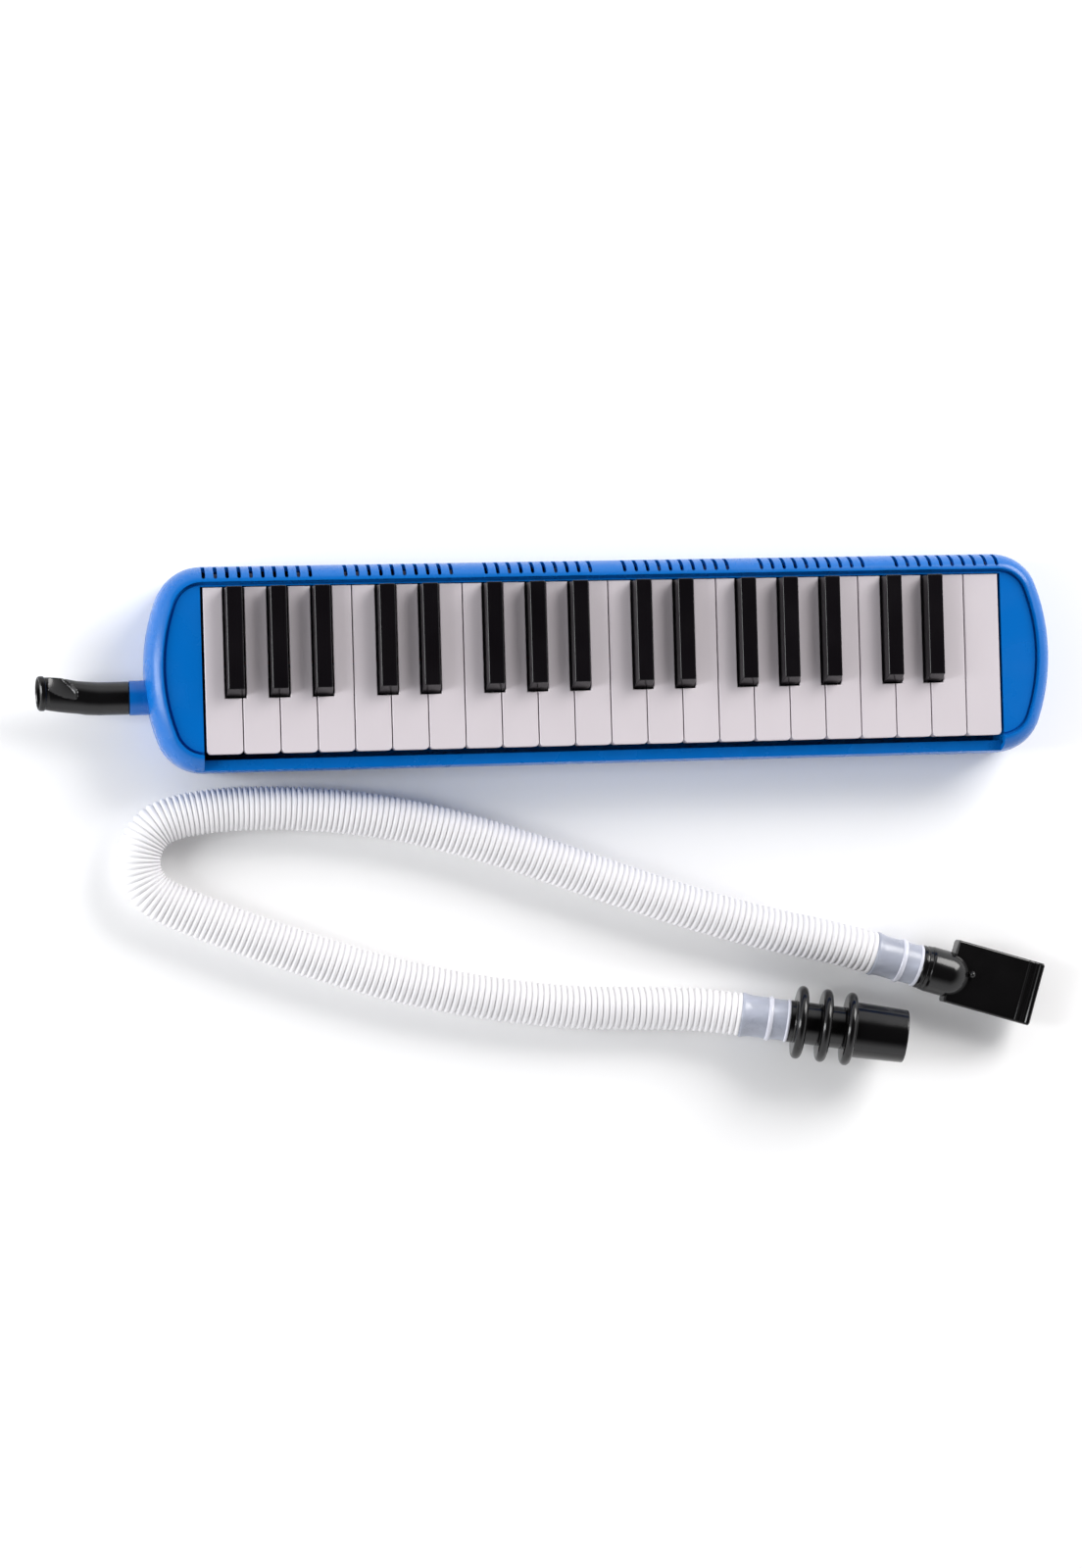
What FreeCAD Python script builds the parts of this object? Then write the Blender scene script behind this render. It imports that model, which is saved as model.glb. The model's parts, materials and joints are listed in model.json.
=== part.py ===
import FreeCAD, Part
import math
import os
import Sketcher

# A 37-key melodica with its blow hose.
#
# The frame: X runs along the instrument, with the neck at -X and the low notes beside it. -Y is
# the player's side, +Z is up. The origin is on the plane of the feet, below the middle of the
# case.
# All sizes are in millimetres.

Vec = FreeCAD.Vector
UP = Vec(0, 0, 1)
ALONG = Vec(1, 0, 0)

CELLS = {
    # the case
    "case_half_length": 213.5,
    "case_half_depth": 47.2,
    "corner_radius": 22.0,
    "split_height": 18.0,
    "foot_height": 0.8,
    "case_wall": 2.4,
    "floor_thickness": 2.2,
    "underside_radius": 5.0,
    "rim_width": 7.8,
    "rim_height": 38.0,
    "rim_shoulder": 23.0,
    "groove_width": 1.3,
    "groove_depth": 1.1,
    "groove_slope": 0.3,
    "groove_bevel": 0.25,
    "panel_height": 36.0,
    "panel_thickness": 2.4,
    "rail_height": 30.0,
    "rail_back": -41.5,
    "vent_width": 1.7,
    "vent_length": 6.4,
    "vent_pitch": 5.4,
    "vent_group_pitch": 64.8,
    # the keyboard
    "key_pitch": 17.0,
    "key_gap": 0.5,
    "key_front": -39.0,
    "key_back": 36.9,
    "key_top": 36.0,
    "key_plate": 2.2,
    "key_skirt": 7.8,
    "skirt_wall": 1.4,
    "black_front": -13.0,
    "black_width": 8.6,
    "black_top_width": 7.2,
    "black_top": 43.5,
    "black_bottom": 30.0,
    "black_clearance": 0.6,
    "black_slope": 3.2,
    "notch_gap": 0.7,
    "outer_shift": 3.0,
    "inner_shift": 1.4,
    "lever_width": 6.0,
    "lever_bottom": 22.0,
    "tail_back": 43.5,
    "tail_top": 29.0,
    "pad_thickness": 1.5,
    "pad_length": 7.0,
    "pivot_y": 20.0,
    "pivot_z": 26.0,
    "rod_radius": 1.5,
    "rod_clearance": 0.06,
    # the wind chest and its reeds
    "chest_half_length": 187.4,
    "chest_front": 9.0,
    "chest_back": 44.0,
    "chest_bottom": 6.5,
    "chest_top": 14.0,
    "chest_wall": 1.8,
    "gasket_thickness": 0.5,
    "block_top": 20.5,
    "comb_top": 28.6,
    "tooth_width": 2.0,
    "plate_thickness": 1.2,
    "reed_thickness": 0.2,
    "longest_reed": 24.0,
    "shortest_reed": 11.0,
    "bed_bottom": 14.5,
    "bed_thickness": 2.0,
    # the neck and the short mouthpiece
    "neck_y": -11.8,
    "neck_z": 18.0,
    "neck_radius": 7.95,
    "neck_bore": 5.5,
    "neck_end": -220.5,
    "beak_tip": -263.0,
    "air_bore": 2.5,
    # the hand strap and the drain valve
    "strap_half_length": 112.0,
    "strap_width": 26.0,
    "strap_y": -22.0,
    "strap_thickness": 1.8,
    "drain_x": 172.0,
    "drain_y": 26.0,
    # the hose
    "hose_diameter": 20.4,
    "hose_bore": 16.4,
    "cuff_length": 22.5,
    "cuff_radius": 9.7,
    "spigot_radius": 8.15,
    "ring_radius": 17.3,
    "ring_pitch": 11.7,
    "ring_thickness": 4.6,
    "coupling_core": 9.9,
    "coupling_length": 55.7,
    "coupling_bore": 8.05,
    "blade_width": 30.5,
    "blade_length": 41.0,
    "dome_radius": 10.9,
}

WHITE_KEYS = 22
GROUPS_OF_BLACK = (3, 2, 3, 2, 3, 2)
VENT_GROUPS = 6
VENTS_IN_GROUP = 10

# The hose's route: the points that its runs join, from the coupling's cuff round the tight fold
# beside the neck and back to the mouthpiece's cuff. It lies on the ground but for its start, which
# the coupling's rings hold up.
HOSE_ROUTE = [
    (61.1, -167.4, 13.6),
    (48.4, -165.3, 11.8),
    (35.8, -163.9, 10.7),
    (15.0, -162.9, 10.4),
    (-20.0, -161.4, 10.4),
    (-60.0, -155.2, 10.4),
    (-100.0, -146.2, 10.4),
    (-140.0, -133.0, 10.4),
    (-172.0, -120.8, 10.4),
    (-195.4, -111.0, 10.4),
    (-211.4, -103.2, 10.4),
    (-217.3, -94.8, 10.4),
    (-218.5, -84.5, 10.4),
    (-214.7, -75.0, 10.4),
    (-206.8, -68.3, 10.4),
    (-189.2, -64.6, 10.4),
    (-166.0, -63.4, 10.4),
    (-132.0, -65.0, 10.4),
    (-92.0, -71.4, 10.4),
    (-48.0, -84.4, 10.4),
    (-2.0, -101.8, 10.4),
    (42.0, -117.4, 10.4),
    (80.0, -128.6, 10.4),
    (106.0, -135.5, 10.6),
    (124.5, -140.6, 10.9),
]
ARC_SHARE = 0.45

doc = FreeCAD.newDocument("melodica")
sheet = doc.addObject("Spreadsheet::Sheet", "sheet")
for row, (alias, number) in enumerate(CELLS.items(), start=1):
    sheet.set("A%d" % row, alias)
    sheet.set("B%d" % row, str(number))
    sheet.setAlias("B%d" % row, alias)
doc.recompute()

nodes = {}


# --- helpers -----------------------------------------------------------------------------------


def size(expression):
    """The number that an expression over the sheet's cells stands for."""
    return float(sheet.evalExpression(expression.replace("sheet.", "")))


def keep(node, thing):
    """Register a document object as a sub-part and give it the sub-part's name."""
    thing.Label = node
    nodes[node] = thing
    return thing


def new_body(name):
    return doc.addObject("PartDesign::Body", name)


def new_sketch(body, name, role="XY_Plane", offset=None):
    """A sketch on one of the body's origin planes, moved off it by an expression."""
    sketch = body.newObject("Sketcher::SketchObject", name)
    plane = [f for f in body.Origin.OriginFeatures if f.Role == role][0]
    sketch.AttachmentSupport = [(plane, "")]
    sketch.MapMode = "FlatFace"
    if offset:
        sketch.setExpression("AttachmentOffset.Base.z", offset)
    return sketch


def bind(sketch, kind, geometry, expression, number):
    index = sketch.addConstraint(Sketcher.Constraint(kind, -1, 1, geometry, 1, number))
    sketch.setExpression("Constraints[%d]" % index, expression)


def polygon(sketch, corners, bound=True):
    """A closed outline of straight sides, whose corners are bound to expressions."""
    first = sketch.GeometryCount
    points = [Vec(size(a), size(b), 0) for a, b in corners]
    count = len(points)
    for i in range(count):
        sketch.addGeometry(Part.LineSegment(points[i], points[(i + 1) % count]), False)
    for i in range(count):
        joined = first + (i + 1) % count
        sketch.addConstraint(Sketcher.Constraint("Coincident", first + i, 2, joined, 1))
    if bound:
        for i, (a, b) in enumerate(corners):
            bind(sketch, "DistanceX", first + i, a, points[i].x)
            bind(sketch, "DistanceY", first + i, b, points[i].y)
    return sketch


def rectangle(sketch, x0, x1, y0, y1, bound=True):
    return polygon(sketch, [(x0, y0), (x1, y0), (x1, y1), (x0, y1)], bound)


def circle(sketch, x, y, radius):
    """A circle whose centre and radius are bound to expressions."""
    index = sketch.GeometryCount
    shape = Part.Circle(Vec(size(x), size(y), 0), UP, size(radius))
    sketch.addGeometry(shape, False)
    for kind, expression in (("DistanceX", x), ("DistanceY", y)):
        number = size(expression)
        made = sketch.addConstraint(Sketcher.Constraint(kind, -1, 1, index, 3, number))
        sketch.setExpression("Constraints[%d]" % made, expression)
    made = sketch.addConstraint(Sketcher.Constraint("Radius", index, size(radius)))
    sketch.setExpression("Constraints[%d]" % made, radius)
    return sketch


def pad(body, name, sketch, length, down=False):
    feature = body.newObject("PartDesign::Pad", name)
    feature.Profile = sketch
    feature.Reversed = down
    feature.setExpression("Length", length)
    return feature


def pocket(body, name, sketch, depth, up=False):
    """Cut a sketch down into the body, or up into it, and check that something was cut."""
    doc.recompute()
    before = body.Shape.Volume
    feature = body.newObject("PartDesign::Pocket", name)
    feature.Profile = sketch
    feature.Reversed = up
    feature.setExpression("Length", depth)
    doc.recompute()
    if not body.Shape.Volume < before - 0.01:
        raise ValueError("%s cuts nothing" % name)
    return feature


def bore_through(body, name, sketch):
    """Cut a sketch through the whole body, both ways from its plane."""
    feature = body.newObject("PartDesign::Pocket", name)
    feature.Profile = sketch
    feature.Type = 1
    feature.Midplane = True
    return feature


def edges_where(feature, test):
    doc.recompute()
    edges = feature.Shape.Edges
    return ["Edge%d" % (i + 1) for i, edge in enumerate(edges) if test(edge)]


def fillet(body, name, base, names, radius):
    feature = body.newObject("PartDesign::Fillet", name)
    feature.Base = (base, names)
    feature.setExpression("Radius", radius)
    return feature


def primitive(kind, name, x, y, z, **sizes):
    """A Part primitive whose sizes and place are bound to expressions."""
    thing = doc.addObject("Part::" + kind, name)
    for key, expression in sizes.items():
        thing.setExpression(key, expression)
    for axis, expression in zip("xyz", (x, y, z)):
        thing.setExpression("Placement.Base." + axis, expression)
    return thing


def box(name, x0, x1, y0, y1, z0, z1):
    return primitive("Box", name, x0, y0, z0, Length="(%s) - (%s)" % (x1, x0),
                     Width="(%s) - (%s)" % (y1, y0), Height="(%s) - (%s)" % (z1, z0))


def upright(name, x, y, z0, z1, radius):
    """A cylinder that stands along Z from z0 to z1."""
    return primitive("Cylinder", name, x, y, z0, Radius=radius, Height="(%s) - (%s)" % (z1, z0))


def lying(name, x0, x1, y, z, radius):
    """A cylinder that lies along X from x0 to x1."""
    thing = primitive("Cylinder", name, x0, y, z, Radius=radius, Height="(%s) - (%s)" % (x1, x0))
    thing.Placement.Rotation = FreeCAD.Rotation(Vec(0, 1, 0), 90)
    return thing


def fuse(name, parts):
    thing = doc.addObject("Part::MultiFuse", name)
    thing.Shapes = parts
    thing.Refine = True
    return thing


def cut(name, base, tool):
    thing = doc.addObject("Part::Cut", name)
    thing.Base = base
    thing.Tool = tool
    thing.Refine = True
    return thing


def group(name, parts):
    thing = doc.addObject("Part::Compound", name)
    thing.Links = parts
    return thing


def feature(name, shape):
    thing = doc.addObject("Part::Feature", name)
    thing.Shape = shape
    return thing


def solid_box(x0, x1, y0, y1, z0, z1):
    return Part.makeBox(x1 - x0, y1 - y0, z1 - z0, Vec(x0, y0, z0))


def turned(name, corners):
    """A body turned round X from an outline of (distance along X, radius) corners."""
    body = new_body(name)
    sketch = polygon(new_sketch(body, name + "_profile", "XZ_Plane"), corners)
    revolution = body.newObject("PartDesign::Revolution", name + "_turned")
    revolution.Profile = sketch
    revolution.ReferenceAxis = (sketch, ["H_Axis"])
    revolution.Angle = 360
    return body, revolution


def text(number):
    return "%.4f" % number


# --- where the keys are --------------------------------------------------------------------------


def black_shifts():
    """How far each black key stands off the gap between its two white keys, by that gap's number."""
    shifts = {}
    gap = 0
    for blacks in GROUPS_OF_BLACK:
        sides = {2: (-1, 1), 3: (-1, 0, 1)}[blacks]
        cell = {2: "sheet.inner_shift", 3: "sheet.outer_shift"}[blacks]
        for side in sides:
            gap += 1
            shifts[gap] = "%d * %s" % (side, cell)
        gap += 1
    return shifts


SHIFTS = black_shifts()
HALF_CUT = "(sheet.black_width / 2 + sheet.black_clearance)"


def gap_x(gap):
    return "sheet.key_pitch * (%d)" % (gap - WHITE_KEYS // 2)


def black_x(gap):
    return "(%s + %s)" % (gap_x(gap), SHIFTS[gap])


def white_sides(index):
    """A white key's left and right sides, at its front and beside the black keys."""
    left = gap_x(index) + " + sheet.key_gap / 2"
    right = gap_x(index + 1) + " - sheet.key_gap / 2"
    tail_left, tail_right = left, right
    if index in SHIFTS:
        tail_left = "%s + %s" % (black_x(index), HALF_CUT)
    if index + 1 in SHIFTS:
        tail_right = "%s - %s" % (black_x(index + 1), HALF_CUT)
    return left, right, tail_left, tail_right


def white_lever_x(index):
    tail_left, tail_right = white_sides(index)[2:]
    return "((%s) + (%s)) / 2" % (tail_left, tail_right)


def lever_list():
    """Every lever from left to right, as (kind, number, place along X)."""
    levers = [("white", i, white_lever_x(i)) for i in range(WHITE_KEYS)]
    levers += [("black", gap, black_x(gap)) for gap in SHIFTS]
    return sorted(levers, key=lambda lever: size(lever[2]))


LEVERS = lever_list()
LEVER_X = [size(x) for _, _, x in LEVERS]
BETWEEN = [(a + b) / 2 for a, b in zip(LEVER_X, LEVER_X[1:])]


# --- the keys ------------------------------------------------------------------------------------

NOTCH_Y = "sheet.black_front - sheet.notch_gap"
PLATE_BOTTOM = "sheet.key_top - sheet.key_plate"
CORNER = 2.0
SOFT_EDGE = 0.5
OVERLAP = 0.4


def add_lever(body, name, x, front, top):
    """The spine under a key, its tail over the wind chest and the eye for the pivot rod."""
    half = "sheet.lever_width / 2"
    left, right = "%s - %s" % (x, half), "%s + %s" % (x, half)
    spine = new_sketch(body, name + "_spine", offset="sheet.lever_bottom")
    rectangle(spine, left, right, front, "sheet.key_back")
    pad(body, name + "_spine_pad", spine, "%s - sheet.lever_bottom" % top)
    tail = new_sketch(body, name + "_tail", offset="sheet.lever_bottom")
    rectangle(tail, left, right, "sheet.key_back - %g" % OVERLAP, "sheet.tail_back")
    pad(body, name + "_tail_pad", tail, "sheet.tail_top - sheet.lever_bottom")
    eye = new_sketch(body, name + "_eye", "YZ_Plane")
    circle(eye, "sheet.pivot_y", "sheet.pivot_z", "sheet.rod_radius + sheet.rod_clearance")
    return bore_through(body, name + "_eye_hole", eye)


def valve_pad(name, x):
    """The soft pad glued under a key's tail, which closes its hole in the reed block."""
    half = "sheet.lever_width / 2"
    return box(name, "%s - %s" % (x, half), "%s + %s" % (x, half),
               "sheet.tail_back - sheet.pad_length", "sheet.tail_back",
               "sheet.lever_bottom - sheet.pad_thickness", "sheet.lever_bottom")


def white_key(index):
    name = "white_key_%02d" % (index + 1)
    body = new_body(name + "_lever")
    left, right, tail_left, tail_right = white_sides(index)
    corners = [(left, "sheet.key_front"), (right, "sheet.key_front")]
    if index + 1 in SHIFTS:
        corners += [(right, NOTCH_Y), (tail_right, NOTCH_Y)]
    corners += [(tail_right, "sheet.key_back"), (tail_left, "sheet.key_back")]
    if index in SHIFTS:
        corners += [(tail_left, NOTCH_Y), (left, NOTCH_Y)]
    plate = new_sketch(body, name + "_plate", offset=PLATE_BOTTOM)
    polygon(plate, corners)
    pad(body, name + "_plate_pad", plate, "sheet.key_plate")
    skirt = new_sketch(body, name + "_skirt", offset=PLATE_BOTTOM)
    rectangle(skirt, left, right, "sheet.key_front", NOTCH_Y)
    rectangle(skirt, left + " + sheet.skirt_wall", right + " - sheet.skirt_wall",
              "sheet.key_front + sheet.skirt_wall", NOTCH_Y + " - sheet.skirt_wall")
    pad(body, name + "_skirt_pad", skirt, "sheet.key_skirt", down=True)
    x = white_lever_x(index)
    base = add_lever(body, name, x, "sheet.key_front + 2 * sheet.skirt_wall", PLATE_BOTTOM)
    front = size("sheet.key_front")

    def front_corner(edge):
        bounds = edge.BoundBox
        upright_edge = bounds.ZLength > 1 and bounds.XLength < 0.01 and bounds.YLength < 0.01
        return upright_edge and abs(bounds.YMax - front) < 0.01

    rounded = fillet(body, name + "_corners", base, edges_where(base, front_corner), text(CORNER))
    top = size("sheet.key_top")
    rim = edges_where(rounded, lambda edge: edge.BoundBox.ZMin > top - 0.01)
    fillet(body, name + "_soft_edge", rounded, rim, text(SOFT_EDGE))
    keep(name, group(name + "_group", [body, valve_pad(name + "_pad", x)]))


def black_key(number, gap):
    name = "black_key_%02d" % number
    body = new_body(name + "_lever")
    x = black_x(gap)
    wide, narrow = "sheet.black_width / 2", "sheet.black_top_width / 2"
    head = new_sketch(body, name + "_head", "XZ_Plane", "-(sheet.key_back)")
    polygon(head, [
        ("%s - %s" % (x, wide), "sheet.black_bottom"),
        ("%s + %s" % (x, wide), "sheet.black_bottom"),
        ("%s + %s" % (x, wide), "sheet.key_top"),
        ("%s + %s" % (x, narrow), "sheet.black_top"),
        ("%s - %s" % (x, narrow), "sheet.black_top"),
        ("%s - %s" % (x, wide), "sheet.key_top"),
    ])
    pad(body, name + "_head_pad", head, "sheet.key_back - sheet.black_front")
    slope = new_sketch(body, name + "_slope", "YZ_Plane")
    polygon(slope, [
        ("sheet.black_front - 1", "sheet.key_top - 1"),
        ("sheet.black_front", "sheet.key_top - 1"),
        ("sheet.black_front + sheet.black_slope", "sheet.black_top"),
        ("sheet.black_front + sheet.black_slope", "sheet.black_top + 1"),
        ("sheet.black_front - 1", "sheet.black_top + 1"),
    ])
    bore_through(body, name + "_slope_cut", slope)
    spine_front = "sheet.black_front + sheet.skirt_wall"
    base = add_lever(body, name, x, spine_front, "sheet.black_bottom + sheet.key_plate")
    top = size("sheet.key_top")
    soft = edges_where(base, lambda edge: edge.BoundBox.ZMax > top + 1)
    fillet(body, name + "_soft_edge", base, soft, text(SOFT_EDGE))
    keep(name, group(name + "_group", [body, valve_pad(name + "_pad", x)]))


# --- the case ------------------------------------------------------------------------------------

CASE_X = size("sheet.case_half_length")
CASE_Y = size("sheet.case_half_depth")
CORNER_R = size("sheet.corner_radius")
KEYS_X = size("sheet.key_pitch") * WHITE_KEYS / 2
OPENING_X = KEYS_X + 1.0
# The ends are D-shaped: a small arc from each long side, then one large arc across the end. The
# large arc's radius makes it touch the small ones, and its centre lies inside the keyboard.
_ACROSS = CASE_X - KEYS_X
_CORNER_Y = CASE_Y - CORNER_R
END_R = (_ACROSS ** 2 + _CORNER_Y ** 2 - CORNER_R ** 2) / (2 * (_ACROSS - CORNER_R))
END_X = CASE_X - END_R
END_ANGLE = math.atan2(_CORNER_Y, KEYS_X - END_X)


def arc(centre, radius, start, stop):
    at = [Vec(centre.x + radius * math.cos(a), centre.y + radius * math.sin(a), centre.z)
          for a in (start, (start + stop) / 2, stop)]
    return Part.Arc(*at)


def case_outline(inset, height):
    """The case's plan outline at a height, as curves in order, moved in from its outside."""
    corner, end, side = CORNER_R - inset, END_R - inset, CASE_Y - inset
    quarter, half = math.pi / 2, math.pi
    right, left = Vec(KEYS_X, _CORNER_Y, height), Vec(-KEYS_X, _CORNER_Y, height)
    right_low, left_low = Vec(KEYS_X, -_CORNER_Y, height), Vec(-KEYS_X, -_CORNER_Y, height)
    return [
        Part.LineSegment(Vec(-KEYS_X, -side, height), Vec(KEYS_X, -side, height)),
        arc(right_low, corner, -quarter, -END_ANGLE),
        arc(Vec(END_X, 0, height), end, -END_ANGLE, END_ANGLE),
        arc(right, corner, END_ANGLE, quarter),
        Part.LineSegment(Vec(KEYS_X, side, height), Vec(-KEYS_X, side, height)),
        arc(left, corner, quarter, half - END_ANGLE),
        arc(Vec(-END_X, 0, height), end, half - END_ANGLE, half + END_ANGLE),
        arc(left_low, corner, half + END_ANGLE, half + quarter),
    ]


def case_slab(inset, low, high):
    wire = Part.Wire([curve.toShape() for curve in case_outline(inset, low)])
    return Part.Face(wire).extrude(Vec(0, 0, high - low))


def ring_profile():
    """The top cover's wall and rounded rim with its groove, as a face at the end of a long side."""
    rim, top, low = size("sheet.rim_width"), size("sheet.rim_height"), size("sheet.split_height")
    shoulder, wall = size("sheet.rim_shoulder"), size("sheet.case_wall")
    panel, floor = size("sheet.panel_height"), size("sheet.panel_height - sheet.groove_depth")
    inner = rim + size("sheet.groove_width")
    lip, lip_bottom = inner + wall, floor - wall

    def at(inward, height):
        return Vec(KEYS_X, CASE_Y - inward, height)

    centre = at(rim, shoulder)
    leg = rim - wall
    outer = Part.Ellipse(at(rim, top), at(0, shoulder), centre)
    inside = Part.Ellipse(at(rim, top - wall), at(wall, shoulder), centre)
    leg_angle = math.asin((rim - leg) / (rim - wall))
    leg_height = shoulder + (top - wall - shoulder) * math.cos(leg_angle)
    slope, bevel = size("sheet.groove_slope"), size("sheet.groove_bevel")
    points = [at(rim, top), at(rim + slope, floor), at(inner - slope, floor),
              at(inner, panel - bevel), at(inner + bevel, panel), at(lip, panel),
              at(lip, lip_bottom), at(leg, lip_bottom), at(leg, leg_height)]
    edges = [Part.LineSegment(a, b).toShape() for a, b in zip(points, points[1:])]
    edges.append(Part.ArcOfEllipse(inside, leg_angle, math.pi / 2).toShape())
    edges.append(Part.LineSegment(at(wall, shoulder), at(wall, low)).toShape())
    edges.append(Part.LineSegment(at(wall, low), at(0, low)).toShape())
    edges.append(Part.LineSegment(at(0, low), at(0, shoulder)).toShape())
    edges.append(Part.ArcOfEllipse(outer, 0, math.pi / 2).toShape())
    return Part.Face(Part.Wire(Part.__sortEdges__(edges)))


def case_ring():
    """The rim profile carried all the way round the case."""
    profile = ring_profile()
    corner_turn = -math.degrees(math.pi / 2 - END_ANGLE)
    centre = Vec(KEYS_X, _CORNER_Y, 0)
    back = profile.extrude(Vec(-2 * KEYS_X, 0, 0))
    corner = profile.revolve(centre, UP, corner_turn)
    turned_profile = profile.copy()
    turned_profile.rotate(centre, UP, corner_turn)
    end = turned_profile.revolve(Vec(END_X, 0, 0), UP, -2 * math.degrees(END_ANGLE))
    across = Vec(0, 1, 0)
    right = [corner, end, corner.mirror(Vec(), across)]
    left = [part.mirror(Vec(), ALONG) for part in right]
    parts = [back, back.mirror(Vec(), across)] + right + left
    return parts[0].multiFuse(parts[1:]).removeSplitter()


def vents():
    """Six groups of ten slots over the back of the rim, each with a rounded front end."""
    pitch, period = size("sheet.vent_pitch"), size("sheet.vent_group_pitch")
    half = size("sheet.vent_width") / 2
    front, low = CASE_Y - size("sheet.vent_length") + half, 28.0
    tall = size("sheet.rim_height") + 2 - low
    slots = []
    for number in range(VENT_GROUPS):
        middle = (number - (VENT_GROUPS - 1) / 2) * period
        for place in range(VENTS_IN_GROUP):
            x = middle + (place - (VENTS_IN_GROUP - 1) / 2) * pitch
            slots.append(solid_box(x - half, x + half, front, CASE_Y + 2, low, low + tall))
            slots.append(Part.makeCylinder(half, tall, Vec(x, front, low)))
    return slots


CASE_SCREW_PLACES = [(x, y) for x in (-198.0, 198.0) for y in (-33.0, 33.0)]
BOSS_R = 3.9
SCREW_HOLE_R = 1.6
BED_SCREWS_X = (-150.0, -50.0, 50.0, 150.0)
BED_SCREW_Y = -26.0
BLOCK_SCREWS_X = (-160.0, -96.0, -32.0, 32.0, 96.0, 160.0)
BLOCK_SCREW_Y = 6.5
SMALL_HOLE_R = 1.25
SMALL_SCREW_R = 1.2
SEAT_DEPTH = 2.8
STRAP_SEAT = 3.4
STRAP_RECESS = 5.6
ANCHOR_PLATE = 0.5
ANCHOR_HOLE_R = 1.1
BUTTON_R = 4.5
FOOT_PLACES = [(x, y) for x in (-150.0, 150.0) for y in (-36.5, 36.5)] + [(0.0, 0.0)]
FOOT_R = 5.0
FOOT_SUNK = 0.4


def top_cover():
    low, panel = size("sheet.split_height"), size("sheet.panel_height")
    thick, wall = size("sheet.panel_thickness"), size("sheet.case_wall")
    rail, rail_back = size("sheet.rail_height"), size("sheet.rail_back")
    inset = size("sheet.rim_width + sheet.groove_width") + wall / 2
    shape = case_ring().fuse(case_slab(inset, panel - thick, panel))
    opening_back = size("sheet.key_back") + 0.4
    tall = size("sheet.rim_height") + 2
    shape = shape.cut(solid_box(-OPENING_X, OPENING_X, rail_back, opening_back, low - 1, tall))
    shape = shape.cut(solid_box(-OPENING_X, OPENING_X, -CASE_Y - 1, rail_back, rail, tall))
    # the front rail: a thin wall in front of the keys under a flat top
    rail_front = -CASE_Y + 1.2
    added = [
        solid_box(-OPENING_X, OPENING_X, rail_front, rail_back, rail - wall, rail),
        solid_box(-OPENING_X, OPENING_X, rail_back - wall + 0.4, rail_back, low, rail - wall),
    ]
    for side in (-1, 1):
        x0, x1 = sorted((side * OPENING_X, side * (OPENING_X + wall)))
        added.append(solid_box(x0, x1, -CASE_Y + wall - 0.5, opening_back, low, panel - thick))
    for x, y in CASE_SCREW_PLACES:
        added.append(Part.makeCylinder(BOSS_R, panel - thick - low + 0.5, Vec(x, y, low)))
    shape = shape.multiFuse(added).common(outer_form())
    holes = [Part.makeCylinder(SCREW_HOLE_R, 12, Vec(x, y, low)) for x, y in CASE_SCREW_PLACES]
    neck = Part.makeCylinder(size("sheet.neck_radius + 0.05"), 20,
                             Vec(-CASE_X - 4, size("sheet.neck_y"), size("sheet.neck_z")), ALONG)
    shape = shape.cut(Part.makeCompound(holes + [neck])).cut(Part.makeCompound(vents()))
    keep("top_cover", feature("top_cover_shape", shape.removeSplitter()))


def outer_form():
    """The case's outer form as a filled solid, to trim what is added inside it."""
    low, shoulder = size("sheet.split_height"), size("sheet.rim_shoulder")
    rim, top = size("sheet.rim_width"), size("sheet.rim_height")
    ring = case_ring()
    inside = case_slab(rim - 0.5, low, top)
    skirt = case_slab(0, low, shoulder)
    return ring.multiFuse([inside, skirt, case_slab(2.3, low, shoulder + 7)])


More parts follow.
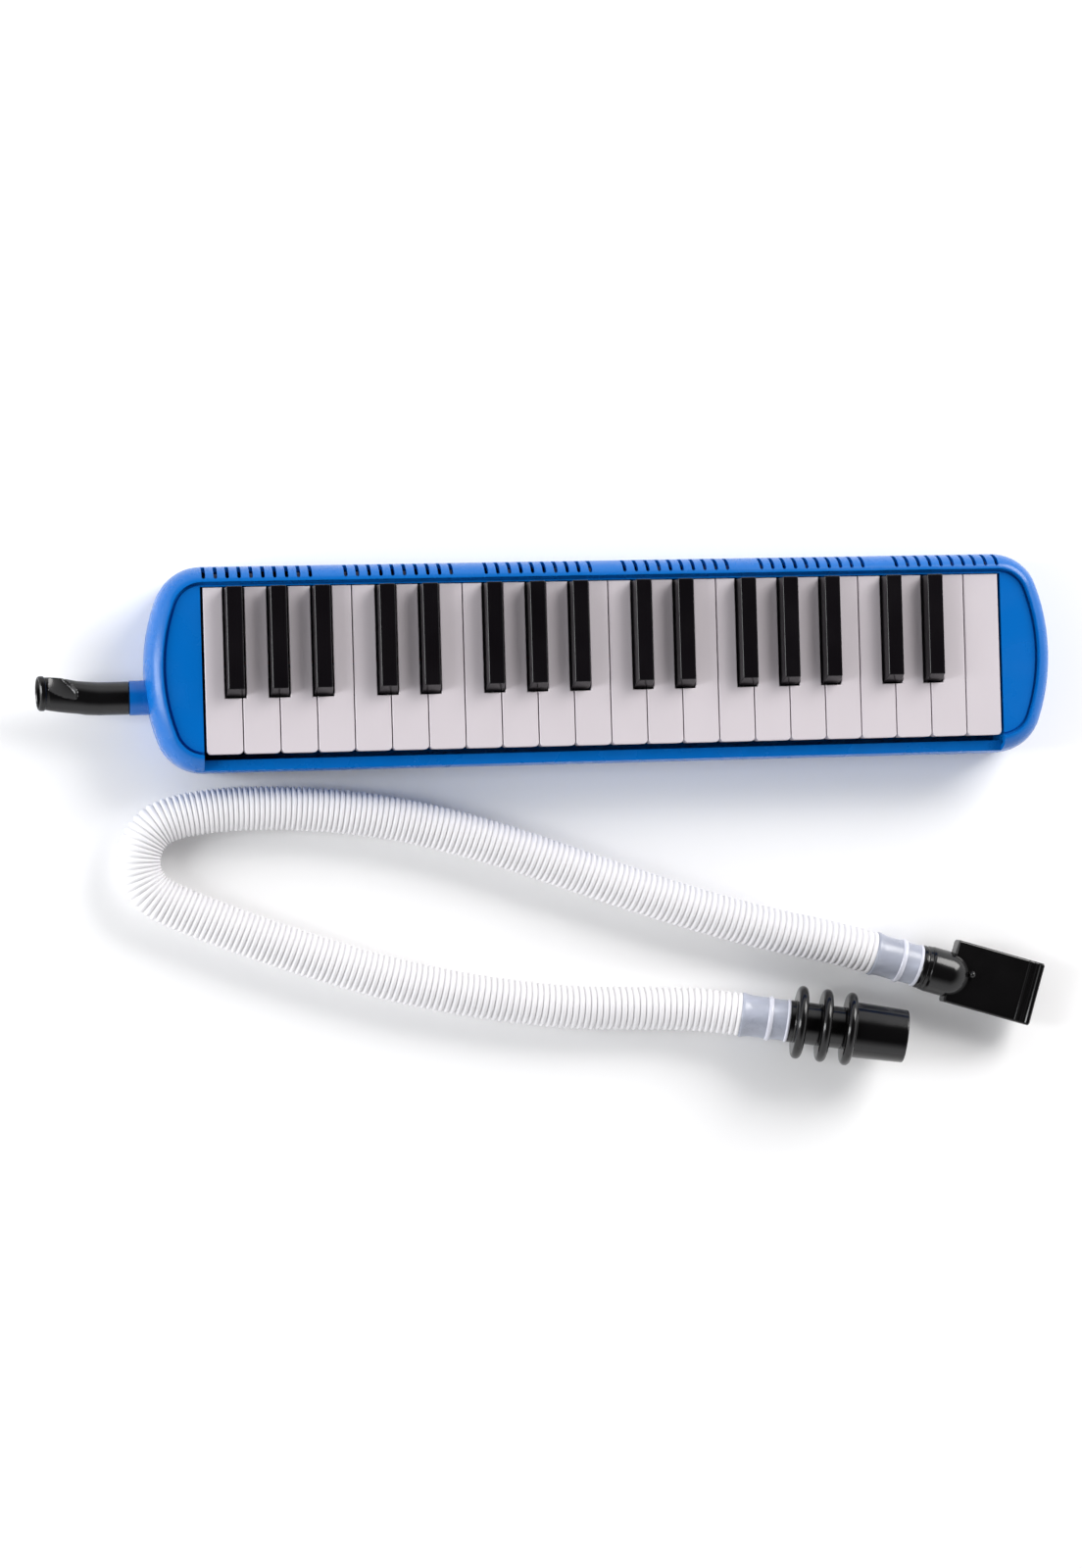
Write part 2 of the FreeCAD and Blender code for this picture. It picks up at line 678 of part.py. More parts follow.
def bottom_cover():
    body = new_body("bottom_cover_body")
    outside = new_sketch(body, "bottom_outside", offset="sheet.foot_height")
    for curve in case_outline(0, 0):
        outside.addGeometry(curve, False)
    solid = pad(body, "bottom_pad", outside, "sheet.split_height - sheet.foot_height")
    lowest = size("sheet.foot_height") + 0.01
    under = edges_where(solid, lambda edge: edge.BoundBox.ZMax < lowest)
    fillet(body, "bottom_rounded", solid, under, "sheet.underside_radius")
    inside = new_sketch(body, "bottom_inside", offset="sheet.split_height")
    for curve in case_outline(size("sheet.case_wall"), 0):
        inside.addGeometry(curve, False)
    pocket(body, "bottom_hollow", inside, "sheet.split_height - sheet.floor_thickness")
    # the raised floor over the strap's recess
    reach, half = "sheet.strap_half_length + 2", "(sheet.strap_width / 2 + 3)"
    raised = new_sketch(body, "strap_floor", offset="sheet.floor_thickness - %g" % OVERLAP)
    rectangle(raised, "-(%s)" % reach, reach, "sheet.strap_y - %s" % half,
              "sheet.strap_y + %s" % half)
    pad(body, "strap_floor_pad", raised, "%g + 5" % OVERLAP)
    # bosses under the key bed, for its screws and the case's own
    bosses = new_sketch(body, "bosses", offset="sheet.floor_thickness - %g" % OVERLAP)
    for x in BED_SCREWS_X:
        circle(bosses, text(x), text(BED_SCREW_Y), text(BOSS_R))
    for x in BLOCK_SCREWS_X:
        circle(bosses, text(x), text(BLOCK_SCREW_Y - 2.1), text(BOSS_R))
    pad(body, "bosses_pad", bosses, "sheet.bed_bottom - sheet.floor_thickness + %g" % OVERLAP)
    posts = new_sketch(body, "case_posts", offset="sheet.floor_thickness - %g" % OVERLAP)
    for x, y in CASE_SCREW_PLACES:
        circle(posts, text(x), text(y), text(BOSS_R))
    pad(body, "case_posts_pad", posts,
        "sheet.split_height - sheet.floor_thickness + %g" % OVERLAP)
    # cuts from below: the strap's recess, shallow at its ends, and the screws' seats
    low_side, high_side = ("sheet.strap_y %s (sheet.strap_width / 2 + 1)" % sign for sign in "-+")
    deep = new_sketch(body, "strap_recess")
    rectangle(deep, "-(sheet.strap_half_length - 16)", "sheet.strap_half_length - 16",
              low_side, high_side)
    pocket(body, "strap_recess_cut", deep, text(STRAP_RECESS), up=True)
    shallow = new_sketch(body, "strap_ends")
    rectangle(shallow, "-sheet.strap_half_length - 0.5", "sheet.strap_half_length + 0.5",
              low_side, high_side)
    pocket(body, "strap_ends_cut", shallow, text(STRAP_SEAT), up=True)
    seats = new_sketch(body, "screw_seats")
    for x, y in CASE_SCREW_PLACES:
        circle(seats, text(x), text(y), "3")
    pocket(body, "screw_seats_cut", seats, text(SEAT_DEPTH), up=True)
    feet = new_sketch(body, "foot_recesses")
    for x, y in FOOT_PLACES:
        circle(feet, text(x), text(y), text(FOOT_R + 0.2))
    pocket(body, "foot_recesses_cut", feet, "sheet.foot_height + %g" % FOOT_SUNK, up=True)
    through = new_sketch(body, "screw_holes")
    for x, y in CASE_SCREW_PLACES:
        circle(through, text(x), text(y), text(SCREW_HOLE_R))
    pocket(body, "screw_holes_cut", through, "sheet.split_height", up=True)
    drain = new_sketch(body, "drain_hole")
    circle(drain, "sheet.drain_x", "sheet.drain_y", text(BUTTON_R + 0.3))
    pocket(body, "drain_hole_cut", drain, "sheet.floor_thickness", up=True)
    pilots = new_sketch(body, "pilot_holes", offset="sheet.bed_bottom")
    for x in BED_SCREWS_X:
        circle(pilots, text(x), text(BED_SCREW_Y), text(SMALL_HOLE_R))
    for x in BLOCK_SCREWS_X:
        circle(pilots, text(x), text(BLOCK_SCREW_Y), text(SMALL_HOLE_R))
    pocket(body, "pilot_holes_cut", pilots, "6")
    anchor = new_sketch(body, "anchor_holes")
    for x, y in anchor_screw_places():
        circle(anchor, text(x), text(y), text(ANCHOR_HOLE_R))
    pocket(body, "anchor_holes_cut", anchor, "6.5", up=True)
    neck = new_sketch(body, "neck_hole", "YZ_Plane", "-(sheet.case_half_length + 4)")
    circle(neck, "sheet.neck_y", "sheet.neck_z", "sheet.neck_radius + 0.05")
    pocket(body, "neck_hole_cut", neck, "16", up=True)
    keep("bottom_cover", body)


def anchor_screw_places():
    middle = size("sheet.strap_half_length") - 7
    y = size("sheet.strap_y")
    return [(side * middle, y + step) for side in (-1, 1) for step in (-8.0, 8.0)]


# --- the wind chest ------------------------------------------------------------------------------

SNOUT_Y0, SNOUT_Y1, SNOUT_Z0, SNOUT_Z1 = 12.0, 23.0, 8.5, 13.0
CHAMBER_W, HOLE_W, HOLE_Y0, HOLE_Y1 = 4.2, 4.0, 37.8, 42.2
CHAMBER_ROOF = 1.8
REED_TOP_Y = 41.0
REED_SCREW_R = 0.8


def reed_length(place):
    """Reed lengths fall from the lowest note to the highest."""
    share = place / (len(LEVERS) - 1)
    long, short = size("sheet.longest_reed"), size("sheet.shortest_reed")
    return long + (short - long) * share ** 0.8


def reed_screw_places():
    rows = (13.6, 40.4)
    columns = [BETWEEN[i] for i in (1, 10, 13, 23, 26, 34)]
    return [(x, y) for x in columns for y in rows]


def wind_chest():
    half = "sheet.chest_half_length"
    outer = box("chest_outer", "-" + half, half, "sheet.chest_front", "sheet.chest_back",
                "sheet.chest_bottom", "sheet.chest_top")
    inner = box("chest_inner", "-%s + sheet.chest_wall" % half, "%s - sheet.chest_wall" % half,
                "sheet.chest_front + sheet.chest_wall", "sheet.chest_back - sheet.chest_wall",
                "sheet.chest_bottom + sheet.chest_wall", "sheet.chest_top + 1")
    window = box("chest_window", "-%s - 1" % half, "-%s + 3" % half, text(SNOUT_Y0 + 1.5),
                 text(SNOUT_Y1 - 1.5), text(SNOUT_Z0 + 1), text(SNOUT_Z1 - 1))
    drain = upright("chest_drain", "sheet.drain_x", "sheet.drain_y", "sheet.chest_bottom - 1",
                    "sheet.chest_bottom + 3", "2.2")
    keep("wind_chest", cut("wind_chest_cut", outer, fuse("chest_voids", [inner, window, drain])))
    low, high = "sheet.chest_top", "sheet.chest_top + sheet.gasket_thickness"
    rubber = box("gasket_outer", "-" + half, half, "sheet.chest_front", "sheet.chest_back", low, high)
    open_middle = box("gasket_inner", "-%s + sheet.chest_wall" % half,
                      "%s - sheet.chest_wall" % half, "sheet.chest_front + sheet.chest_wall",
                      "sheet.chest_back - sheet.chest_wall", low + " - 1", high + " + 1")
    keep("chest_gasket", cut("gasket_cut", rubber, open_middle))


def reed_block():
    """The block over the chest: a chamber and a valve hole per note, and the comb for the rod."""
    body = new_body("reed_block_body")
    bottom = "sheet.bed_bottom"
    half = "sheet.chest_half_length"
    block = new_sketch(body, "block", offset=bottom)
    rectangle(block, "-" + half, half, "sheet.chest_front", "sheet.chest_back")
    pad(body, "block_pad", block, "sheet.block_top - " + bottom)
    flange = new_sketch(body, "block_flange", offset=bottom)
    rectangle(flange, "-" + half, half, "2", "sheet.chest_front + %g" % OVERLAP)
    pad(body, "block_flange_pad", flange, "2.5")
    teeth = new_sketch(body, "comb", offset="sheet.block_top - %g" % OVERLAP)
    tooth = size("sheet.tooth_width") / 2
    low, high = size("sheet.pivot_y") - 3.6, size("sheet.pivot_y") + 3.6
    edge = size(half)
    spans = [(-edge, -edge + 1.4)] + [(x - tooth, x + tooth) for x in BETWEEN] + [(edge - 1.4, edge)]
    for x0, x1 in spans:
        rectangle(teeth, text(x0), text(x1), text(low), text(high), bound=False)
    pad(body, "comb_pad", teeth, "sheet.comb_top - sheet.block_top + %g" % OVERLAP)
    eye = new_sketch(body, "comb_eye", "YZ_Plane")
    circle(eye, "sheet.pivot_y", "sheet.pivot_z", "sheet.rod_radius + 0.02")
    bore_through(body, "comb_eye_hole", eye)
    chambers = new_sketch(body, "chambers", offset=bottom)
    holes = new_sketch(body, "valve_holes", offset="sheet.block_top")
    for place, x in enumerate(LEVER_X):
        front = REED_TOP_Y - reed_length(place)
        rectangle(chambers, text(x - CHAMBER_W / 2), text(x + CHAMBER_W / 2), text(front),
                  text(HOLE_Y1), bound=False)
        rectangle(holes, text(x - HOLE_W / 2), text(x + HOLE_W / 2), text(HOLE_Y0),
                  text(HOLE_Y1), bound=False)
    pocket(body, "chambers_cut", chambers, "sheet.block_top - %s - %g" % (bottom, CHAMBER_ROOF),
           up=True)
    pocket(body, "valve_holes_cut", holes, "%g" % (CHAMBER_ROOF + OVERLAP))
    screws = new_sketch(body, "block_screw_holes", offset="sheet.block_top")
    for x in BLOCK_SCREWS_X:
        circle(screws, text(x), text(BLOCK_SCREW_Y), text(SMALL_HOLE_R))
    pocket(body, "block_screw_holes_cut", screws, "sheet.block_top")
    pilots = new_sketch(body, "reed_screw_holes", offset=bottom)
    for x, y in reed_screw_places():
        circle(pilots, text(x), text(y), text(REED_SCREW_R + 0.05))
    pocket(body, "reed_screw_holes_cut", pilots, "4", up=True)
    keep("reed_block", body)


def reed_plates():
    """Three brass plates under the block, with a slot for each reed."""
    top = size("sheet.bed_bottom")
    thick = size("sheet.plate_thickness")
    edge = size("sheet.chest_half_length - sheet.chest_wall") - 0.6
    splits = [-edge, BETWEEN[11], BETWEEN[24], edge]
    front, back = 11.6, size("sheet.chest_back - sheet.chest_wall") - 0.3
    plates = [solid_box(a + 0.3, b - 0.3, front, back, top - thick, top)
              for a, b in zip(splits, splits[1:])]
    tools = []
    for place, x in enumerate(LEVER_X):
        start = REED_TOP_Y - reed_length(place)
        tools.append(solid_box(x - 1.3, x + 1.3, start, REED_TOP_Y, top - thick - 1, top + 1))
    for x, y in reed_screw_places():
        tools.append(Part.makeCylinder(REED_SCREW_R + 0.05, thick + 2, Vec(x, y, top - thick - 1)))
    cutter = Part.makeCompound(tools)
    keep("reed_plates", feature("reed_plates_shape",
                                Part.makeCompound([plate.cut(cutter) for plate in plates])))


def reeds():
    """A brass tongue under each slot, held by a rivet at its front end."""
    top = size("sheet.bed_bottom - sheet.plate_thickness")
    thick = size("sheet.reed_thickness")
    tongues = []
    for place, x in enumerate(LEVER_X):
        start = REED_TOP_Y - reed_length(place)
        tongue = solid_box(x - 1.1, x + 1.1, start - 2.6, REED_TOP_Y - 0.3, top - thick, top)
        rivet = Part.makeCylinder(0.8, 0.5, Vec(x, start - 1.4, top - thick - 0.5))
        tongues.append(tongue.fuse(rivet))
    keep("reeds", feature("reeds_shape", Part.makeCompound(tongues)))


def key_bed():
    body = new_body("key_bed_body")
    plate = new_sketch(body, "bed", offset="sheet.bed_bottom")
    rectangle(plate, "-sheet.chest_half_length", "sheet.chest_half_length", "-38", "1.6")
    pad(body, "bed_pad", plate, "sheet.bed_thickness")
    holes = new_sketch(body, "bed_holes", offset="sheet.bed_bottom + sheet.bed_thickness")
    for x in BED_SCREWS_X:
        circle(holes, text(x), text(BED_SCREW_Y), text(SMALL_HOLE_R))
    pocket(body, "bed_holes_cut", holes, "sheet.bed_thickness")
    keep("key_bed", body)


def stop_felts():
    """The strips that the levers land on: one under the key fronts, one under the black levers."""
    top = "sheet.bed_bottom + sheet.bed_thickness"
    half = "sheet.chest_half_length - 1"
    front = box("front_felt", "-(%s)" % half, half, "-36", "-30", top, top + " + 1.5")
    rear = box("rear_felt", "-(%s)" % half, half, "2.1", "3.7", "sheet.bed_bottom + 2.5",
               "sheet.block_top - 0.05")
    keep("stop_felts", group("stop_felts_group", [front, rear]))


def key_springs():
    """One strip of spring steel with a finger that presses up under each lever."""
    base = size("sheet.bed_bottom + sheet.bed_thickness")
    tip, thick = size("sheet.lever_bottom"), 0.3
    half = size("sheet.chest_half_length") - 1
    strip = solid_box(-half, half, -4, 1.2, base, base + thick)
    fingers = []
    for x in LEVER_X:
        corners = [Vec(x - 1.8, -3.8, base), Vec(x - 1.8, -20, tip - thick),
                   Vec(x - 1.8, -22, tip - thick), Vec(x - 1.8, -22, tip),
                   Vec(x - 1.8, -20, tip), Vec(x - 1.8, -3.8, base + thick)]
        face = Part.Face(Part.makePolygon(corners + corners[:1]))
        fingers.append(face.extrude(Vec(3.6, 0, 0)))
    keep("key_springs", feature("key_springs_shape", strip.multiFuse(fingers).removeSplitter()))


def pivot_rod():
    half = "sheet.chest_half_length"
    keep("pivot_rod", lying("pivot_rod_bar", "-" + half, half, "sheet.pivot_y", "sheet.pivot_z",
                            "sheet.rod_radius"))


# --- screws --------------------------------------------------------------------------------------


def screw(x, y, seat, tip, head_radius, head_height, radius):
    """A screw whose head sits on seat and whose tip is at tip, above or below it."""
    way = 1 if tip > seat else -1
    head = Part.makeCylinder(head_radius, head_height, Vec(x, y, seat), Vec(0, 0, -way))
    slot_depth = head_height * 0.4
    for turn in (0, 90):
        slot = Part.makeBox(head_radius, head_radius * 0.24, slot_depth * 2)
        slot.translate(Vec(-head_radius / 2, -head_radius * 0.12, -slot_depth))
        slot.rotate(Vec(), UP, turn)
        slot.translate(Vec(x, y, seat - way * head_height))
        head = head.cut(slot)
    shank = Part.makeCylinder(radius, abs(tip - seat), Vec(x, y, seat), Vec(0, 0, way))
    return head.fuse(shank)


def screws():
    """The case's four long screws, and those of the key bed, the reed block and the reeds."""
    every = [screw(x, y, SEAT_DEPTH, 29, 2.8, 1.8, 1.55) for x, y in CASE_SCREW_PLACES]
    bed, block = size("sheet.bed_bottom + sheet.bed_thickness"), size("sheet.bed_bottom") + 2.5
    every += [screw(x, BED_SCREW_Y, bed, 9, 2.2, 1.3, SMALL_SCREW_R) for x in BED_SCREWS_X]
    every += [screw(x, BLOCK_SCREW_Y, block, 9, 2.2, 1.3, SMALL_SCREW_R) for x in BLOCK_SCREWS_X]
    under = size("sheet.bed_bottom - sheet.plate_thickness")
    every += [screw(x, y, under, under + 4.5, 1.5, 0.8, REED_SCREW_R)
              for x, y in reed_screw_places()]
    keep("screws", feature("screws_shape", Part.makeCompound(every)))


def rubber_feet():
    """Four round feet sunk into the underside, which the case stands on."""
    feet = [upright("foot_%d" % number, text(x), text(y), "0",
                    "sheet.foot_height + %g" % FOOT_SUNK, text(FOOT_R))
            for number, (x, y) in enumerate(FOOT_PLACES, start=1)]
    keep("rubber_feet", group("rubber_feet_group", feet))


# --- the neck, the mouthpiece and the drain ------------------------------------------------------


def mouth_socket():
    """The neck with its flange inside the case, and the duct from it to the wind chest."""
    y, z = "sheet.neck_y", "sheet.neck_z"
    neck = lying("neck_tube", "sheet.neck_end", "-206", y, z, "sheet.neck_radius")
    flange = lying("neck_flange", "-208", "-206", y, z, "10.4")
    duct = box("duct", "-206.2", "-192", "-20.3", "24.5", "8", "28")
    snout = box("snout", "-192.5", "-sheet.chest_half_length", text(SNOUT_Y0), text(SNOUT_Y1),
                text(SNOUT_Z0 - 0.5), text(SNOUT_Z1 + 0.5))
    bore = lying("neck_air", "sheet.neck_end - 1", "-200", y, z, "sheet.neck_bore")
    inside = box("duct_air", "-204.4", "-193.8", "-18.5", "22.7", "9.8", "26.2")
    window = box("snout_air", "-196", "-sheet.chest_half_length + 1", text(SNOUT_Y0 + 1.5),
                 text(SNOUT_Y1 - 1.5), text(SNOUT_Z0 + 1), text(SNOUT_Z1 - 1))
    walls = fuse("socket_walls", [neck, flange, duct, snout])
    keep("mouth_socket", cut("mouth_socket_cut", walls, fuse("socket_air", [bore, inside, window])))


BEAK_TILT = 12.0
# The short mouthpiece's outside: distance from its shoulder, half width, half thickness, and how
# far the section's middle lies up and to the back of the neck's axis.
BEAK_SECTIONS = [(0.0, 7.65, 7.6, 0.0, 0.0), (14.0, 7.7, 7.4, 0.0, 0.0),
                 (24.0, 7.9, 6.0, 0.3, 1.0), (32.0, 7.9, 5.0, 0.6, 2.2),
                 (40.3, 7.8, 4.5, 0.8, 2.9)]


def beak_section(x, across, thin, lift, aside):
    """An elliptical section across the mouthpiece, turned about its length."""
    centre = Vec(x, size("sheet.neck_y") + aside, size("sheet.neck_z") + lift)
    ellipse = Part.Ellipse(Vec(0, across, 0), Vec(-thin, 0, 0), Vec()).toShape()
    ellipse.rotate(Vec(), Vec(0, 1, 0), -90)
    ellipse.rotate(Vec(), ALONG, BEAK_TILT)
    ellipse.translate(centre)
    return Part.Wire([ellipse])


def short_mouthpiece():
    """A round stem flattened and turned towards its lipped tip, on a spigot in the neck."""
    end, tip = size("sheet.neck_end"), size("sheet.beak_tip")
    y, z = size("sheet.neck_y"), size("sheet.neck_z")
    stem = Part.makeLoft([beak_section(end - x, across, thin, lift, aside)
                          for x, across, thin, lift, aside in BEAK_SECTIONS], True)
    spigot = Part.makeCylinder(size("sheet.neck_bore") - 0.1, 14, Vec(end - 2, y, z), ALONG)
    lip = Part.makeLoft([beak_section(tip + 2.6, 8.1, 4.9, 0.8, 2.9),
                         beak_section(tip, 8.1, 4.9, 0.8, 2.9)], True)
    air = Part.makeCylinder(size("sheet.air_bore"), end + 20 - tip, Vec(tip - 4, y, z), ALONG)
    mouth = Part.makeLoft([beak_section(tip - 1, 6.7, 3.4, 0.8, 2.9),
                           beak_section(tip + 8, 4.4, 2.9, 0.6, 2.2)], True)
    shape = stem.fuse(spigot).fuse(lip).cut(mouth).cut(air)
    keep("short_mouthpiece", feature("short_mouthpiece_shape", shape))


def drain_valve():
    """The button under the case that lifts a disc off the chest's drain hole, and its spring."""
    x, y = "sheet.drain_x", "sheet.drain_y"
    floor = "sheet.chest_bottom + sheet.chest_wall"
    head = upright("drain_head", x, y, "1.2", "3.2", text(BUTTON_R))
    stem = upright("drain_stem", x, y, "3.2", floor, "1.4")
    disc = upright("drain_disc", x, y, floor, floor + " + 1.4", "3.6")
    keep("drain_button", fuse("drain_button_fuse", [head, stem, disc]))
    low, high = 3.2, size("sheet.chest_bottom")
    wire, radius = 0.25, 2.1
    pitch = (high - low - 2 * wire) / 4
    helix = Part.makeHelix(pitch, high - low - 2 * wire, radius)
    section = Part.Wire([Part.Circle(Vec(radius, 0, 0), Vec(0, 1, 0), wire).toShape()])
    coil = Part.Wire(helix.Edges).makePipeShell([section], True, True)
    coil.translate(Vec(size(x), size(y), low + wire))
    keep("drain_spring", feature("drain_spring_shape", coil))


def hand_strap():
    y = size("sheet.strap_y")
    half, width = size("sheet.strap_half_length"), size("sheet.strap_width") / 2
    thick = size("sheet.strap_thickness")
    low = STRAP_SEAT - thick
    band = solid_box(-half, half, y - width, y + width, low, STRAP_SEAT)
    holes = [Part.makeCylinder(ANCHOR_HOLE_R, 6, Vec(px, py, 0)) for px, py in
             anchor_screw_places()]
    keep("hand_strap", feature("hand_strap_shape", band.cut(Part.makeCompound(holes))))
    fixings = []
    for side in (-1, 1):
        x0, x1 = sorted((side * (half - 12), side * (half - 2)))
        plate = solid_box(x0, x1, y - width + 1, y + width - 1, low - ANCHOR_PLATE, low)
        fixings.append(plate.cut(Part.makeCompound(holes)))
    fixings += [screw(px, py, low - ANCHOR_PLATE, 6.4, 1.9, 0.7, ANCHOR_HOLE_R - 0.05)
                for px, py in anchor_screw_places()]
    keep("strap_anchors", feature("strap_anchors_shape", Part.makeCompound(fixings)))


# --- the hose ------------------------------------------------------------------------------------


def hose_path():
    """Straight runs joined by arcs that touch them, and the arcs' radii."""
    points = [Vec(*p) for p in HOSE_ROUTE]
    edges, radii = [], []
    start = points[0]
    for before, corner, after in zip(points, points[1:], points[2:]):
        into, out = corner - before, after - corner
        reach = ARC_SHARE * min(into.Length, out.Length)
        turn = into.getAngle(out)
        radii.append(reach / math.tan(turn / 2))
        into.normalize()
        out.normalize()
        enter, leave = corner - into * reach, corner + out * reach
        towards = out - into
        towards.normalize()
        sag = radii[-1] * (1 / math.cos(turn / 2) - 1)
        middle = corner + towards * sag
        edges.append(Part.LineSegment(start, enter).toShape())
        edges.append(Part.Arc(enter, middle, leave).toShape())
        start = leave
    edges.append(Part.LineSegment(start, points[-1]).toShape())
    return Part.Wire(edges), radii


def hose_tube():
    path, radii = hose_path()
    start = Vec(*HOSE_ROUTE[0])
    along = Vec(*HOSE_ROUTE[1]) - start
    outer, inner = size("sheet.hose_diameter") / 2, size("sheet.hose_bore") / 2
    pipes = [path.makePipe(Part.Face(Part.Wire([Part.Circle(start, along, r).toShape()])))
             for r in (outer, inner)]
    tube = pipes[0].cut(pipes[1])
    area = math.pi * (outer ** 2 - inner ** 2)
    print("hose centreline %.1f mm, volume against section times length %.4f"
          % (path.Length, tube.Volume / (area * path.Length)))
    print("hose bend radii in mm:", ", ".join("%.0f" % r for r in radii))
    keep("hose_tube", feature("hose_tube_shape", tube))


def lay_along(thing, start, towards):
    """Turn a body made along +X so that it lies along a direction, with its zero at start."""
    thing.Placement = FreeCAD.Placement(start, FreeCAD.Rotation(ALONG, towards))


def hose_ends():
    """Each end's start point and outward direction."""
    points = [Vec(*p) for p in HOSE_ROUTE]
    return [(points[0], (points[0] - points[1]).normalize()),
            (points[-1], (points[-1] - points[-2]).normalize())]


SPIGOT_END = "-18"
BLADE_START = "18.5"


def cuff(name):
    """A short sleeve with a bead round its middle and another at its outer end."""
    long, radius = "sheet.cuff_length", "sheet.cuff_radius"
    bore, bead = "sheet.spigot_radius + 0.05", radius + " + 0.5"
    corners = [("0", bore), ("0", radius), ("12", radius), ("12.4", bead), ("14", bead),
               ("14.4", radius), (long + " - 1.6", radius), (long + " - 1.4", bead),
               (long, bead), (long, bore)]
    return turned(name, corners)[0]


def coupling():
    """A grip of three round-edged discs, a tapered tube and a spigot that the cuff fits over."""
    core, ring = "sheet.coupling_core", "sheet.ring_radius"
    spigot, mouth = "sheet.spigot_radius", "10.6"
    corners = [(SPIGOT_END, "5.6"), (SPIGOT_END, spigot), ("0", spigot), ("0", core)]
    for number in range(3):
        middle = "(5.1 + %d * sheet.ring_pitch)" % number
        low, high = middle + " - sheet.ring_thickness / 2", middle + " + sheet.ring_thickness / 2"
        back = core if number < 2 else "13.2"
        corners += [(low, core), (low, ring), (high, ring), (high, back)]
    end, bore = "sheet.coupling_length", "sheet.coupling_bore"
    corners += [(end, "12.5"), (end, mouth), (end + " - 8", mouth), (end + " - 8", bore),
                (end + " - 22", bore), (end + " - 22", "5.6")]
    body, revolution = turned("coupling", corners)
    radius = size(ring)

    def disc_edge(edge):
        return hasattr(edge.Curve, "Radius") and abs(edge.Curve.Radius - radius) < 0.01

    fillet(body, "coupling_rounded", revolution, edges_where(revolution, disc_edge), "2.1")
    return body


def blade_mouthpiece():
    """A domed socket that runs into a broad flat blade with a slot across its end."""
    wide, long = "sheet.blade_width", "sheet.blade_length"
    body, _ = turned("dome", [(SPIGOT_END, "0"), (SPIGOT_END, "sheet.spigot_radius"),
                              ("0", "sheet.spigot_radius"), ("0", "sheet.dome_radius"),
                              ("17", "sheet.dome_radius"), ("21.5", "9.6"), ("24.6", "7"),
                              ("26", "3.5"), ("26", "0")])
    tip = "%s + %s" % (BLADE_START, long)
    blade = new_sketch(body, "blade_side", "XZ_Plane", "-%s / 2" % wide)
    polygon(blade, [(BLADE_START, "-5.4"), (tip, "-3.6"), (tip, "3.6"), (BLADE_START, "5.4")])
    slab = pad(body, "blade_pad", blade, wide)

    def long_edge(edge):
        bounds = edge.BoundBox
        return bounds.XLength > 20 and bounds.YLength < 0.1

    fillet(body, "blade_soft", slab, edges_where(slab, long_edge), "1.2")
    mouth = new_sketch(body, "blade_mouth", "YZ_Plane", tip)
    rectangle(mouth, "-11", "11", "-1.7", "1.7")
    pocket(body, "blade_mouth_cut", mouth, "30")
    air = new_sketch(body, "blade_air", "YZ_Plane", SPIGOT_END)
    circle(air, "0", "0", "sheet.air_bore")
    pocket(body, "blade_air_cut", air, "50", up=True)
    nub = new_sketch(body, "nub", offset="4")
    circle(nub, "25", "2.8", "1.5")
    pad(body, "nub_pad", nub, "3")
    return body


def hose_fittings():
    (near, out), (far, onward) = hose_ends()
    long = size("sheet.cuff_length")
    cuffs = [cuff("near_cuff"), cuff("far_cuff")]
    lay_along(cuffs[0], near, out)
    lay_along(cuffs[1], far, onward)
    keep("hose_cuffs", group("hose_cuffs_group", cuffs))
    body = coupling()
    lay_along(body, near + out * long, out)
    keep("hose_coupling", body)
    blade = blade_mouthpiece()
    lay_along(blade, far + onward * long, onward)
    keep("hose_mouthpiece", blade)


# --- the whole -----------------------------------------------------------------------------------

for index in range(WHITE_KEYS):
    white_key(index)
for number, gap in enumerate(sorted(SHIFTS), start=1):
    black_key(number, gap)
top_cover()
bottom_cover()
wind_chest()
reed_block()
reed_plates()
reeds()
key_bed()
stop_felts()
key_springs()
pivot_rod()
screws()
rubber_feet()
mouth_socket()
short_mouthpiece()
drain_valve()
hand_strap()
hose_tube()
hose_fittings()
doc.recompute()

for thing in doc.Objects:
    if "Invalid" in thing.State or "Error" in thing.State:
        raise ValueError("%s failed: %s" % (thing.Label, thing.State))
os.makedirs("parts", exist_ok=True)
for node, thing in sorted(nodes.items()):
    shape = thing.Shape
    if shape.isNull() or not shape.isValid() or not shape.Solids:
        raise ValueError("%s has no valid solid" % node)
    shape.exportStep("parts/%s.step" % node)
print("%d sub-parts written" % len(nodes))
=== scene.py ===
"""A melodica with its short mouthpiece and its blow hose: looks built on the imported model."""

import json
import math
import random

import bmesh
import bpy
from mathutils import Matrix, Vector


